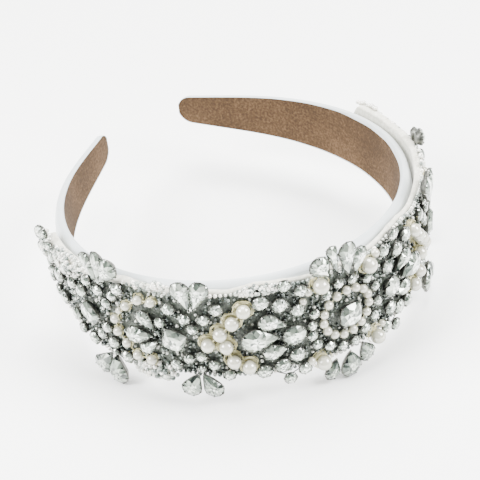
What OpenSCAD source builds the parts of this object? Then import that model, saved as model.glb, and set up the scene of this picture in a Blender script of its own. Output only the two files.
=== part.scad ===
// Bridal headband: a padded satin band, open at the back, faced with a strip of crystals and pearls.
// The band is laid out on its own middle plane, and the last step leans it back onto its rest.

/* [Band] */
// Length of one arm along its inner side, from the middle of the front to the tip
arm_len = 194; // [180:1:205]
// Width of the satin at the middle of the front
front_w = 32; // [28:0.5:36]
// Width of the satin at the tips
tip_w = 11.5; // [9:0.5:14]
// How long the front keeps its width: larger numbers narrow later
taper = 1.7; // [1.3:0.1:2.2]
// Thickness of the padded band at the front
front_t = 3.6; // [3:0.1:3.6]
// Thickness of the padded band at the tips
tip_t = 2.8; // [2.4:0.1:3.2]
// How much more the left arm is bent than the right one, as a share
askew = 0.035; // [0:0.005:0.05]

/* [Lining] */
// Thickness of the suede lining
lining_t = 0.8; // [0.6:0.1:1]
// Width of the satin that is turned in over each edge of the lining at the front
turn_in_front = 5; // [4:0.5:7]
// The same at the tips
turn_in_tip = 1.6; // [1.5:0.1:2.5]

/* [Beaded strip] */
// Distance from the middle of the front to each end of the strip
strip_len = 116; // [114:1:118]
// Height of the strip's own middle above the middle of the satin
strip_rise = 0.6; // [0:0.1:1]
// Thickness of the ivory backing
backing_t = 1.2; // [0.8:0.1:1.4]
// Thickness of the dark woven ground between the stones
ground_t = 0.8; // [0.5:0.1:0.9]

/* [Stones and pearls] */
// Height of the foot under each cut stone
foot_h = 0.6; // [0.5:0.1:0.8]
// Diameter of that foot
foot_d = 1.2; // [1:0.1:1.4]
// Diameter of the pearls in the two arrowheads
arrow_pearl = 5; // [4.6:0.1:5.2]
// Diameter of the pearls in the ring around the centre stone
ring_pearl = 3.3; // [3:0.1:3.4]
// Diameter of the thread that joins a row of pearls
pearl_thread = 0.8; // [0.6:0.1:1]
// Extra height of the arrowheads above the other pearls
arrow_lift = 0.4; // [0:0.1:0.5]

/* [Rest] */
// Lean of the band, in degrees, as it stands on its lowest petals: the more, the lower the tips
rest_lean = 1.4; // [0:0.1:3]

/* [Hidden] */
// Radius of the inner line at six even places along an arm; the tip bends back outward
arm_radii = [59, 67, 64, 70, 114, -150];

// Spaces that keep pieces apart where they lie on each other
lining_gap = 0.1;
backing_gap = 0.2;
ground_gap = 0.1;
seat_gap = 0.1;

// Heights above the inner line, from the satin outward
backing_low = front_t + backing_gap;
ground_low = backing_low + backing_t + ground_gap;
seat = ground_low + ground_t + seat_gap;
cup_low = seat + foot_h;

// Shift that puts the middle of the base at the origin
centre_x = -2.28;
centre_y = -67.42;
lift = 31;

// The inner line of one arm: rows of distance, x, y and heading in degrees
line_step = 2;
line_rows = ceil((arm_len + 8) / line_step);
last_knot = len(arm_radii) - 1;
bends = [for (i = [0:last_knot]) [i / last_knot, 1 / arm_radii[i]]];
function turn_at(i, side) =
    (1 - side * askew) * lookup((i + 0.5) * line_step / arm_len, bends) * line_step * 180 / PI;
function arm_line(side) = [
    for (i = 0, x = 0, y = 0, a = 0; i <= line_rows;
         x = x + line_step * cos(a + turn_at(i, side) / 2),
         y = y + line_step * sin(a + turn_at(i, side) / 2),
         a = a + turn_at(i, side),
         i = i + 1)
    [i * line_step, x, y, a]];
right_line = arm_line(1);
left_line = arm_line(-1);
function column(rows, c) = [for (r = rows) [r[0], r[c]]];
right_x = column(right_line, 1);
right_y = column(right_line, 2);
right_a = column(right_line, 3);
left_x = column(left_line, 1);
left_y = column(left_line, 2);
left_a = column(left_line, 3);

// Place on the inner line at a signed distance from the middle of the front
function line_x(s) = s < 0 ? -lookup(-s, left_x) : lookup(s, right_x);
function line_y(s) = s < 0 ? lookup(-s, left_y) : lookup(s, right_y);
function line_a(s) = s < 0 ? -lookup(-s, left_a) : lookup(s, right_a);

// A point at distance s along the band, at height up, and a distance out from the inner line
function band_point(s, up, out) = [
    line_x(s) + out * sin(line_a(s)),
    line_y(s) - out * cos(line_a(s)),
    up];

// Satin width and thickness
function satin_w(s) = tip_w + (front_w - tip_w) * (1 - pow(abs(s) / arm_len, taper));
function satin_t(s) = front_t + (tip_t - front_t) * abs(s) / arm_len;

// Lower and upper edge of the beaded strip: distance from the middle, low, high
strip_edge = [
    [0, -22.5, 14],
    [14, -22, 14.2],
    [22, -22, 15.6],
    [28, -22, 16],
    [36, -21.5, 14],
    [56, -20.5, 14],
    [70, -20.5, 15.2],
    [80, -20, 14],
    [90, -18.5, 13],
    [104, -14, 12.5]];
strip_end_r = 5;
strip_low = column(strip_edge, 1);
strip_high = column(strip_edge, 2);

// Share of the full width that is left near a rounded end of the given radius
function end_share(s, end, r) =
    let (u = (abs(s) - (end - r)) / r) u <= 0 ? 1 : sqrt(max(0, 1 - u * u));

// Distances of the cross-sections: even along the middle, closer towards each rounded end
end_turns = [15, 30, 45, 58, 70, 80];
function half_stations(end, r, step) = concat(
    [for (s = [step:step:end - r - step / 3]) s],
    [end - r],
    [for (a = end_turns) end - r + r * sin(a)]);
function stations(end, r, step) =
    let (h = half_stations(end, r, step))
    concat([for (i = [len(h) - 1:-1:0]) -h[i]], [0], h);

// Joins equal rings of points into one closed skin
module skin(rings) {
    n = len(rings[0]);
    m = len(rings);
    sides = [for (i = [0:m - 2], j = [0:n - 1])
        let (k = (j + 1) % n)
        each [[i * n + j, i * n + k, (i + 1) * n + k], [i * n + j, (i + 1) * n + k, (i + 1) * n + j]]];
    first = [for (j = [n - 1:-1:0]) j];
    last = [for (j = [0:n - 1]) (m - 1) * n + j];
    polyhedron(points = [for (r = rings) each r], faces = concat(sides, [first, last]), convexity = 8);
}

// A flat strip that follows the band between two heights out from the inner line
module strip(places, lows, highs, in, out) {
    skin([for (i = [0:len(places) - 1]) [
        band_point(places[i], lows[i], in),
        band_point(places[i], highs[i], in),
        band_point(places[i], highs[i], out),
        band_point(places[i], lows[i], out)]]);
}

// Lays its children on the beaded strip: x along it, y up it and z outward
module on_strip(s, up, out, turn = 0) {
    translate([line_x(s), line_y(s), 0])
        rotate([0, 0, line_a(s)])
            rotate([90, 0, 0])
                translate([0, up + strip_rise, out])
                    rotate([0, 0, turn])
                        children();
}

// Leans the finished band back onto its rest
module rested() {
    translate([centre_x, centre_y, lift]) rotate([-rest_lean, 0, 0]) children();
}

// Columns of the stone tables
ALONG = 0;
UP = 1;
SIZE = 2;
TURN = 3;

// Pear stones: name, pointed end along and up, round end along and up, width
NAME = 0;
TIP_ALONG = 1;
TIP_UP = 2;
END_ALONG = 3;
END_UP = 4;
WIDTH = 5;
centre_pears = [
    ["top_petal_left", -6.3, 13.8, -11.8, 22, 6.4],
    ["top_petal_slim", -3.4, 12.8, -5.4, 24.6, 3.6],
    ["top_petal_middle", -0.2, 10.8, 0.3, 24, 6],
    ["top_petal_right", 2.6, 10.6, 6, 19.6, 5.2],
    ["hem_petal_left", -5.4, -22, -8.4, -30, 5.2],
    ["hem_petal_middle", -0.6, -20.8, -0.8, -31.8, 7.2],
    ["hem_petal_right", 4.4, -20.4, 7.2, -29.2, 5.8]];
side_pears = [
    ["teardrop_upper", -20.3, -1, -29.6, 3.2, 5.6],
    ["teardrop_middle", -22.9, -4.8, -35.6, -4, 8],
    ["teardrop_lower", -20.4, -10.2, -29.2, -11.4, 5.6],
    ["flower_pear_upper", -59.9, -1.6, -65.3, 5.2, 4.6],
    ["flower_pear_middle", -60.6, -4, -70.8, -5.4, 6.2],
    ["flower_pear_lower", -59.4, -6.6, -66, -12, 4.2]];

// Petals that share one setting: the same columns without a name. The right end has two short ones.
upper_petals = [
    [-47.7, 9.4, -50.8, 20.8, 5.8],
    [-46.7, 9.4, -42.6, 21, 5.8]];
lower_petals = [
    [-47.3, -17, -52, -26.8, 6],
    [-46.1, -17, -41.4, -26.8, 6]];
far_upper_petals = [
    [-78.8, 12.8, -83.6, 22.6, 5],
    [-77.9, 12.8, -76.6, 25, 4.6],
    [-77, 12.8, -69.6, 23.4, 6.6]];
far_right_petals = [
    [-78.4, 12.8, -80, 18.4, 4],
    [-77, 12.8, -71.8, 20.4, 5.6]];
far_lower_petals = [
    [-77.2, -17.6, -85.4, -28.2, 6.4],
    [-75.6, -17.6, -76.2, -30.6, 7.4]];

// Stones of their own besides the pears: along, up, size
centre_stone = [0, -5.2, 8.4];
big_round = [-18.2, -5.6, 7.8];
square_stone = [-53.8, -4.3, 7.6, -16];
oblong_stone = [-84.4, -3.7, 8, -36];
oblong_w = 6.2;
centre_pearls = [
    ["top_pearl_left", -9.2, 11.2, 5.6],
    ["top_pearl_right", 8, 10.3, 5.6],
    ["hem_pearl_left", -9.8, -21.2, 5.4],
    ["hem_pearl_right", 10.6, -22, 5.4]];

// The arrowheads: pearls in the order of their thread
arrow_pearls = [
    [-32.4, 7.9],
    [-36, 3.3],
    [-39.8, -1],
    [-43.7, -5.5],
    [-38.4, -6.4],
    [-36.6, -12.8],
    [-32.4, -15.6]];

// Rounds on one thread: along, up, size
flower_rounds = [
    [-11.5, 0, 3.6],
    [-12.4, -4.6, 3.6],
    [-12.6, -8.8, 3.8],
    [-11.2, -13, 3.8],
    [-7.2, -15.6, 3.8],
    [-2.8, -18, 3.8],
    [1.8, -18.4, 3.6],
    [6.1, -15.6, 3.8],
    [10.1, -12.6, 3.8],
    [11.7, -7.4, 3.8],
    [10.9, -0.6, 3.6],
    [7.5, 4.8, 3.6],
    [1.9, 7.9, 3.6],
    [-3, 8.6, 3.6],
    [-7.2, 5.8, 3.6]];
inner_upper_rounds = [
    [-16.6, 3.8, 4.8],
    [-21.8, 7.5, 5.3],
    [-27.3, 9.7, 5.3],
    [-20, 14.8, 4.4],
    [-15.2, 11.2, 4.4]];
inner_lower_rounds = [
    [-17.6, -14.6, 5.3],
    [-22.4, -17.8, 5.3],
    [-28, -19, 5],
    [-20.4, -24, 4.4],
    [-15.6, -21.4, 4.6]];
side_upper_rounds = [
    [-57.9, 1.8, 4],
    [-54.6, 7.9, 4.4],
    [-50.2, 4.4, 4.2],
    [-48, 0.2, 4],
    [-44.3, 4.3, 4.2],
    [-40.3, 8.4, 4.4]];
side_lower_rounds = [
    [-54.4, -15.6, 4.2],
    [-50.3, -12.5, 4],
    [-46.4, -11.3, 3.8],
    [-42.8, -15, 4],
    [-38.6, -19.2, 4.2]];
far_rounds = [
    [-76.7, 3.8, 4],
    [-73.8, 8, 3.8],
    [-71.2, 11.8, 4.6],
    [-79.2, 8, 4.3],
    [-84, 9.8, 4.2],
    [-87.6, 3.8, 5],
    [-92.6, 4.2, 4.4],
    [-95.8, 9, 4],
    [-101, 2.6, 5.6],
    [-105.8, 7.4, 4.6],
    [-111.6, 8.8, 4.8],
    [-110.6, 2, 4.4],
    [-110.8, -4.6, 4.2],
    [-105.6, -7.4, 4],
    [-100.4, -7, 5],
    [-93, -9.4, 4.8],
    [-91, -14.8, 4],
    [-85.1, -15.6, 4.8],
    [-80.8, -11.4, 4.2],
    [-78, -7.4, 4.2],
    [-76.2, -13, 4.6],
    [-71.6, -17.4, 4.8]];

// Pearls of the side flower on one thread: along, up, size
side_flower_pearls = [
    [-60, 9.6, 3.5],
    [-64.2, 9.6, 3.5],
    [-69, 5.6, 3.5],
    [-73.9, -1.6, 3.5],
    [-73.7, -7, 3.5],
    [-70.9, -11, 3.5],
    [-67.5, -15, 3.6],
    [-62.6, -15.4, 3.8]];

// The ring of pearls round the centre stone
ring_count = 15;
ring_middle = [-0.4, -4.5];
ring_rx = 8.4;
ring_rz = 8.9;

// Cut shape, as shares of a stone's width and height
foot_share = 0.34;
table_share = 0.3;
girdle_low = 0.38;
girdle_high = 0.52;
stone_rise = 0.34;
stone_base = 1;
pear_rise = 0.4;
pear_tip_r = 0.5;
foot_in = 0.8;
petal_lift = 1.2;
root_d = 3;
centre_corner = 3;
square_corner = 2;
oblong_corner = 1;

// Thread under a row of rounds, as a share of the foot's height
round_thread = 0.7;

// The padding that is left at a tip, the way the lining follows the satin, and the bare edge round the ground
tip_share = 0.4;
lining_fade = 0.7;
ground_inset = 0.8;

function stone_h(d) = stone_base + stone_rise * d;
function pear_h(w) = stone_base + pear_rise * w;

// Names of the pieces that come once on each side
SIDES = ["left", "right"];
side_names = ["big_round", "square_stone", "oblong_stone", "arrow_pearls", "upper_petals", "lower_petals",
    "far_upper_petals", "far_lower_petals", "inner_upper_rounds", "inner_lower_rounds", "side_upper_rounds",
    "side_lower_rounds", "far_rounds", "side_flower_pearls"];

round_fn = 28;
hull_fn = 16;
foot_fn = 12;
thread_fn = 14;

// Colours of the finishes
satin_colour = [0.93, 0.93, 0.93];
suede_colour = [0.68, 0.56, 0.44];
felt_colour = [0.9, 0.87, 0.8];
ground_colour = [0.3, 0.33, 0.31];
crystal_colour = [0.82, 0.85, 0.83];
pearl_colour = [0.95, 0.94, 0.91];

// The padded band: a slot-shaped section, flat inside, with round edges and rounded tips
function satin_ring(s) =
    let (share = end_share(s, arm_len, tip_w / 2),
         half = satin_w(s) / 2 * share,
         t = satin_t(s) * (tip_share + (1 - tip_share) * share),
         e = min(t / 2, half))
    [for (side = [-1, 1], a = [-90:30:90])
        band_point(s, side * (half - e) + e * side * cos(a), t / 2 - side * t / 2 * sin(a))];

module satin_band() {
    color(satin_colour) skin([for (s = stations(arm_len, tip_w / 2, 4)) satin_ring(s)]);
}

// Suede inside the band, in from the edges by the width of the turned satin
module lining() {
    end = arm_len - turn_in_tip;
    places = stations(end, tip_w / 2 - turn_in_tip, 4);
    half = [for (s = places)
        (satin_w(s) / 2 - turn_in_front - (turn_in_tip - turn_in_front) * pow(abs(s) / end, lining_fade))
            * end_share(s, end, tip_w / 2 - turn_in_tip)];
    color(suede_colour)
        strip(places, -half, half, -lining_gap - lining_t, -lining_gap);
}

// One layer of the beaded strip, inset from the edge by the given margin
module strip_layer(low, thick, margin) {
    end = strip_len - margin;
    places = stations(end, strip_end_r, 4);
    share = [for (s = places) end_share(s, end, strip_end_r)];
    rows = [0:len(places) - 1];
    lows = [for (i = rows) (lookup(abs(places[i]), strip_low) + margin) * share[i] + strip_rise];
    highs = [for (i = rows) (lookup(abs(places[i]), strip_high) - margin) * share[i] + strip_rise];
    strip(places, lows, highs, low, low + thick);
}

module backing() {
    color(felt_colour) strip_layer(backing_low, backing_t, 0);
}

module bead_ground() {
    color(ground_colour) strip_layer(ground_low, ground_t, ground_inset);
}

// A round cut stone in its cup, on its foot
module round_stone(d) {
    h = stone_h(d);
    rotate_extrude($fn = round_fn)
        polygon([
            [0, -foot_h],
            [foot_d / 2, -foot_h],
            [foot_d / 2, 0],
            [d * foot_share, 0],
            [d / 2, h * girdle_low],
            [d / 2, h * girdle_high],
            [d * table_share, h],
            [0, h]]);
}

// The solid outline of one round corner of a cut stone
module stone_corner(d, h) {
    cylinder(d1 = 2 * d * foot_share, d2 = d, h = h * girdle_low, $fn = hull_fn);
    translate([0, 0, h * girdle_high])
        cylinder(d1 = d, d2 = 2 * d * table_share, h = h * (1 - girdle_high), $fn = hull_fn);
}

// A pear stone with its point at the origin and its round end up the y axis; one foot is at the point
module pear(length, w, lift_up, feet) {
    h = pear_h(w);
    hull() {
        translate([0, length - w / 2, 0]) stone_corner(w, h);
        translate([0, pear_tip_r, 0]) stone_corner(2 * pear_tip_r, h);
    }
    for (y = feet == 2 ? [foot_in, length - w / 2] : [foot_in])
        translate([0, y, -foot_h - lift_up]) cylinder(d = foot_d, h = foot_h + lift_up + h / 2, $fn = foot_fn);
}

// A block-cut stone with round corners
module block_stone(l, w, corner) {
    h = pear_h(w);
    hull() for (x = [-1, 1], y = [-1, 1])
        translate([x * (l / 2 - corner), y * (w / 2 - corner), 0]) stone_corner(2 * corner, h);
    translate([0, 0, -foot_h]) cylinder(d = foot_d, h = foot_h + h / 2, $fn = foot_fn);
}

// A pear from its pointed end to its round end; flip is 1 on the right half
module placed_pear(tip, end, w, flip, lift_up = 0, feet = 1) {
    d = [(end[0] - tip[0]) * -flip, end[1] - tip[1]];
    on_strip(tip[0] * -flip, tip[1], cup_low + lift_up, atan2(-d[0], d[1])) pear(norm(d), w, lift_up, feet);
}

function flip_of(side) = side == "left" ? -1 : 1;

module named_pear(r, flip, feet) {
    color(crystal_colour)
        placed_pear([r[TIP_ALONG], r[TIP_UP]], [r[END_ALONG], r[END_UP]], r[WIDTH], flip, feet = feet);
}

module petals(rows, flip, lift_up = 0) {
    root = [(rows[0][0] + rows[len(rows) - 1][0]) / 2, rows[0][1]];
    color(crystal_colour) {
        for (r = rows) placed_pear([r[0], r[1]], [r[2], r[3]], r[4], flip, lift_up);
        on_strip(root[0] * -flip, root[1], cup_low) round_stone(root_d);
    }
}

// A bar between two places on the ground, at the given height out
module tie(p, q, out, d, flip) {
    a = band_point(p[ALONG] * -flip, p[UP] + strip_rise, out);
    b = band_point(q[ALONG] * -flip, q[UP] + strip_rise, out);
    v = b - a;
    translate(a)
        rotate([0, acos(v[2] / norm(v)), atan2(v[1], v[0])])
            cylinder(d = d, h = norm(v), $fn = thread_fn);
}

// Cut rounds on one thread, which runs under them
module thread_rounds(rows, flip, closed = false) {
    n = len(rows);
    color(crystal_colour) {
        for (r = rows) on_strip(r[ALONG] * -flip, r[UP], cup_low) round_stone(r[SIZE]);
        for (i = [0:closed ? n - 1 : n - 2])
            tie(rows[i], rows[(i + 1) % n], seat + foot_h / 2, foot_h * round_thread, flip);
    }
}

// Turn of a pearl about its outward axis that keeps its seam clear of the thread on both sides
function seam_turn(rows, i, flip, closed) =
    let (n = len(rows),
         p = rows[closed ? (i + n - 1) % n : max(i - 1, 0)],
         q = rows[closed ? (i + 1) % n : min(i + 1, n - 1)])
    atan2(q[UP] - p[UP], (q[ALONG] - p[ALONG]) * -flip) + 90;

// Pearls on one thread, which runs through them
module thread_pearls(rows, flip, closed = false, lift_up = 0) {
    n = len(rows);
    low = seat + lift_up;
    color(pearl_colour) {
        for (i = [0:n - 1])
            on_strip(rows[i][ALONG] * -flip, rows[i][UP], low + rows[i][SIZE] / 2, seam_turn(rows, i, flip, closed))
                sphere(d = rows[i][SIZE], $fn = round_fn);
        for (i = [0:closed ? n - 1 : n - 2])
            tie(rows[i], rows[(i + 1) % n], low + rows[i][SIZE] / 2, pearl_thread, flip);
    }
}

module single_pearl(r) {
    color(pearl_colour)
        on_strip(r[1], r[2], seat + r[3] / 2) sphere(d = r[3], $fn = round_fn);
}

module centre_stone() {
    color(crystal_colour)
        on_strip(centre_stone[ALONG], centre_stone[UP], cup_low)
            block_stone(centre_stone[SIZE], centre_stone[SIZE], centre_corner);
}

module ring_pearls() {
    rows = [for (i = [0:ring_count - 1])
        let (a = 360 * i / ring_count)
        [ring_middle[0] + ring_rx * sin(a), ring_middle[1] + ring_rz * cos(a), ring_pearl]];
    thread_pearls(rows, -1, closed = true);
}

module big_round(flip) {
    color(crystal_colour)
        on_strip(big_round[ALONG] * -flip, big_round[UP], cup_low) round_stone(big_round[SIZE]);
}

module square_stone(flip) {
    color(crystal_colour)
        on_strip(square_stone[ALONG] * -flip, square_stone[UP], cup_low, square_stone[TURN] * -flip)
            block_stone(square_stone[SIZE], square_stone[SIZE], square_corner);
}

module oblong_stone(flip) {
    color(crystal_colour)
        on_strip(oblong_stone[ALONG] * -flip, oblong_stone[UP], cup_low, oblong_stone[TURN] * -flip)
            block_stone(oblong_stone[SIZE], oblong_w, oblong_corner);
}

module arrow_pearls(flip) {
    rows = [for (p = arrow_pearls) [p[ALONG], p[UP], arrow_pearl]];
    thread_pearls(rows, flip, lift_up = arrow_lift);
}

// The pieces that come once on each side, by name
module side_piece(name, flip) {
    if (name == "big_round") big_round(flip);
    if (name == "square_stone") square_stone(flip);
    if (name == "oblong_stone") oblong_stone(flip);
    if (name == "arrow_pearls") arrow_pearls(flip);
    if (name == "upper_petals") petals(upper_petals, flip, petal_lift);
    if (name == "lower_petals") petals(lower_petals, flip, petal_lift);
    if (name == "far_upper_petals") petals(flip > 0 ? far_right_petals : far_upper_petals, flip);
    if (name == "far_lower_petals") petals(far_lower_petals, flip);
    if (name == "inner_upper_rounds") thread_rounds(inner_upper_rounds, flip);
    if (name == "inner_lower_rounds") thread_rounds(inner_lower_rounds, flip);
    if (name == "side_upper_rounds") thread_rounds(side_upper_rounds, flip);
    if (name == "side_lower_rounds") thread_rounds(side_lower_rounds, flip);
    if (name == "far_rounds") thread_rounds(far_rounds, flip);
    if (name == "side_flower_pearls") thread_pearls(side_flower_pearls, flip);
}

rested() satin_band();
rested() lining();
rested() backing();
rested() bead_ground();
rested() centre_stone();
rested() ring_pearls();
rested() thread_rounds(flower_rounds, -1, closed = true);
for (r = centre_pears) rested() named_pear(r, -1, feet = 1);
for (r = centre_pearls) rested() single_pearl(r);
for (side = SIDES, r = side_pears)
    rested() named_pear(r, flip_of(side), feet = 2);
for (side = SIDES, n = side_names)
    rested() side_piece(n, flip_of(side));
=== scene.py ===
# %% [markdown]
# # A beaded bridal headband
# The object is a wide padded band of satin, bent into a U. A strip of cut crystals, pearls and tiny beads
# is sewn onto its front and sides. The solid model of it is already packed, so the first cell loads that
# model. Every new piece is then worked out around it, in the same frame.

# %% Load the frame
import bpy
import numpy as np
from mathutils import Matrix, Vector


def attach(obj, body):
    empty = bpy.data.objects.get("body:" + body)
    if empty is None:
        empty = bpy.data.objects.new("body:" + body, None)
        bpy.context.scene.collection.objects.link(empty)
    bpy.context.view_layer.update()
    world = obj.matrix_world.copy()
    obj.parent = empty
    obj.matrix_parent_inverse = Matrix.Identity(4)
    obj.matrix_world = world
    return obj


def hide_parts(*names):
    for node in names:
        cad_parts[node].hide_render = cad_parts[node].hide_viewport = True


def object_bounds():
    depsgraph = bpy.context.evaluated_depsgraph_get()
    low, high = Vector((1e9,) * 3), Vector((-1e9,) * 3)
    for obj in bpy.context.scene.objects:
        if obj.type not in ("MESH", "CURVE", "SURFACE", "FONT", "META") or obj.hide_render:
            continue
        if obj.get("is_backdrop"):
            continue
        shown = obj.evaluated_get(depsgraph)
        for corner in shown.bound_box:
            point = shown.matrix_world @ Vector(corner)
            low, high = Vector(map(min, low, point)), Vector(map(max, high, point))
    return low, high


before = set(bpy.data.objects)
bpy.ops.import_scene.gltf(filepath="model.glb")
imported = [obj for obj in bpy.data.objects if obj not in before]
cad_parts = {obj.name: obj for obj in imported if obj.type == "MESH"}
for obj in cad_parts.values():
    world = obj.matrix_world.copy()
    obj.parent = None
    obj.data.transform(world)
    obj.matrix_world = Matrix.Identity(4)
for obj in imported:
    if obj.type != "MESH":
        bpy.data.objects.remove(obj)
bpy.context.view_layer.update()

# %% [markdown]
# ## The line of the band
# All pieces hang on one curve, the inner line of the U. Its bend changes evenly between six radii, so the
# heading is a running sum of the bend, and the place is a running sum of the heading. A point is then given
# by three plain numbers in millimetres: how far along the band, how high up, and how far out from the line.

# %% The inner line, and a place on the band
MM = 0.001
ARM = 194.0  # from the middle of the front to a tip
RADII = np.array([59, 67, 64, 70, 114, -150.0])  # at even places along an arm
ASKEW = 0.035  # the left arm bends this much more, the right one less
PAST_TIP = 8.5  # how far the tables run on past a tip
STEP = 0.5
LEAN = np.radians(1.4)
SHIFT = np.array([-2.28, -67.42, 31.0])


def arm_table(side):
    """Distance, x, y and heading along one arm: each is the running sum of the one after it."""
    s = np.arange(0, ARM + PAST_TIP, STEP)
    knots = np.linspace(0, 1, len(RADII))
    bend = np.interp((s[:-1] + STEP / 2) / ARM, knots, 1 / RADII) * (1 - side * ASKEW) * STEP
    a = np.concatenate([[0], np.cumsum(bend)])
    mid = (a[1:] + a[:-1]) / 2
    x = np.concatenate([[0], np.cumsum(np.cos(mid)) * STEP])
    y = np.concatenate([[0], np.cumsum(np.sin(mid)) * STEP])
    return s, x, y, a


ARMS = {1: arm_table(1), -1: arm_table(-1)}


def line(s):
    """x, y and heading of the inner line; on the left arm x and heading change sign."""
    s = np.asarray(s, float)
    right = [np.interp(s, ARMS[1][0], ARMS[1][k]) for k in (1, 2, 3)]
    left = [np.interp(-s, ARMS[-1][0], ARMS[-1][k]) for k in (1, 2, 3)]
    left[0], left[2] = -left[0], -left[2]
    return [np.where(s < 0, q, p) for p, q in zip(right, left)]


def rested(p):
    """From the band's frame in millimetres to metres: a small lean about x, then a shift onto the floor."""
    c, s = np.cos(LEAN), np.sin(LEAN)
    x, y, z = p[..., 0], p[..., 1], p[..., 2]
    return (np.stack([x, y * c + z * s, z * c - y * s], -1) + SHIFT) * MM


def place(s, up, out):
    """A point of the band: the inner line, plus out along its outward normal, at height up."""
    s, up, out = np.broadcast_arrays(np.asarray(s, float), up, out)
    x, y, a = line(s)
    return rested(np.stack([x + out * np.sin(a), y - out * np.cos(a), up], -1))


print("tips", (place(ARM, 0, 0) * 1000).round(1), (place(-ARM, 0, 0) * 1000).round(1))

# %% [markdown]
# ## From arrays to a mesh
# A surface is a grid of points, and its faces are the quads between neighbours. The points go into the mesh
# as whole arrays, which is quick, and a value per corner can be stored beside them for a material to read.

# %% Grids and meshes


def quads(rows, cols, around=True):
    """Faces of a grid of rows by cols points; each row closes on itself when around is set."""
    i, j = np.arange(rows - 1)[:, None], np.arange(cols if around else cols - 1)[None, :]
    k = (j + 1) % cols
    return np.stack([i * cols + j, i * cols + k, (i + 1) * cols + k, (i + 1) * cols + j], -1).reshape(-1, 4)


def closed_grid(values):
    """Rings closed at both ends: quads between the rings, and a fan from the middle of each end ring.

    values is rows by cols by any number; it returns one row of values per vertex, and the faces.
    """
    rows, cols = values.shape[:2]
    rings = values[1:-1].reshape(-1, values.shape[-1])
    ends = values[[0, -1]].mean(1)
    j, k = np.arange(cols), (np.arange(cols) + 1) % cols
    n, last = len(rings), (rows - 3) * cols
    fans = np.concatenate([np.stack([j, k, np.full(cols, n)], 1),
                           np.stack([last + k, last + j, np.full(cols, n + 1)], 1)])
    return np.concatenate([rings, ends]), [quads(rows - 2, cols)[:, ::-1], fans]


def mesh_piece(name, points, faces, materials, smooth=True, kinds=None, values=None, uv=None):
    """One object at the origin.

    faces is a list of index arrays, each of one face size. kinds is the material of each face, values a shade
    for each corner of a face, and uv a pair for each vertex.
    """
    mesh = bpy.data.meshes.new(name)
    sizes = np.concatenate([np.full(len(f), f.shape[1]) for f in faces])
    loops = np.concatenate([f.reshape(-1) for f in faces]).astype(np.int32)
    mesh.vertices.add(len(points))
    mesh.vertices.foreach_set("co", np.asarray(points, np.float32).reshape(-1))
    mesh.loops.add(len(loops))
    mesh.loops.foreach_set("vertex_index", loops)
    mesh.polygons.add(len(sizes))
    mesh.polygons.foreach_set("loop_start", np.concatenate([[0], np.cumsum(sizes)[:-1]]).astype(np.int32))
    for m in materials:
        mesh.materials.append(m)
    if kinds is not None:
        mesh.polygons.foreach_set("material_index", np.asarray(kinds, np.int32))
    mesh.polygons.foreach_set("use_smooth", np.broadcast_to(smooth, len(sizes)).copy())
    if values is not None:
        shade = mesh.attributes.new("shade", "FLOAT", "CORNER")
        shade.data.foreach_set("value", np.asarray(values, np.float32))
    if uv is not None:
        mesh.uv_layers.new(name="cloth").data.foreach_set("uv", np.asarray(uv, np.float32)[loops].reshape(-1))
    mesh.update(calc_edges=True)
    mesh.validate()
    obj = bpy.data.objects.new(name, mesh)
    bpy.context.scene.collection.objects.link(obj)
    return obj


def on_frame(obj, slot, *nodes):
    """The piece rides on the one body and stands for these nodes; slot is not used."""
    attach(obj, "root")
    if nodes:
        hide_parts(*nodes)
    return obj


print("a closed ring of 3 rows by 4 points has", len(quads(3, 4)), "faces")

# %% [markdown]
# ## Materials
# Colours are written the way they are on screen, and one function turns them to the linear values that
# light is added up in. Another function adds one node with its settings and links, so a material reads as a
# list.

# %% Colour and node helpers


def colour(hex_text):
    """sRGB hex to linear: a small channel c is c / 12.92, others ((c + 0.055) / 1.055) to the power 2.4."""
    c = np.array([int(hex_text[i:i + 2], 16) for i in (1, 3, 5)]) / 255
    return (*np.where(c <= 0.04045, c / 12.92, ((c + 0.055) / 1.055) ** 2.4), 1.0)


def node(tree, kind, settings=None, inputs=None, stops=(), to=None):
    """Adds a node with its settings and links.

    settings are its properties, inputs are values or (node, output) pairs by socket name, stops are the
    (place, hex) pairs of a colour ramp, and to is the socket that its first output feeds.
    """
    n = tree.nodes.new(kind)
    for key, value in (settings or {}).items():
        setattr(n, key, value)
    for key, value in (inputs or {}).items():
        if isinstance(value, tuple) and len(value) == 2 and hasattr(value[0], "outputs"):
            tree.links.new(value[0].outputs[value[1]], n.inputs[key])
        else:
            n.inputs[key].default_value = value
    if stops:
        points = n.color_ramp.elements
        while len(points) < len(stops):
            points.new(0.5)
        for point, (where, hex_text) in zip(points, stops):
            point.position, point.color = where, colour(hex_text)
    if to is not None:
        tree.links.new(n.outputs[0], to)
    return n


def finish_of(name, base, **sockets):
    """A new material with one Principled shader; base is its colour, which a ramp may then vary."""
    m = bpy.data.materials.new(name)
    m.use_nodes = True
    shader = m.node_tree.nodes["Principled BSDF"]
    shader.inputs["Base Color"].default_value = colour(base)
    for key, value in sockets.items():
        shader.inputs[key.replace("_", " ")].default_value = value
    return m, m.node_tree, shader


print("middle grey in linear light:", round(colour("#808080")[0], 3))

# %% [markdown]
# Satin is a weave of long silk or polyester floats. The threads are far too fine to see here, so what the
# eye gets is a soft broad highlight and faint creases that run along the band. The suede lining is brushed,
# and its nap lies in patches of lighter and darker tan. The backing is a pressed felt with no shine at all.
# A texture's scale is its number of patches in a metre, so a pattern of 0.9 mm has a scale of 1100. The
# satin's creases read the cloth's own map instead, in millimetres along and across, because they follow the
# band round its bends.

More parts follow.
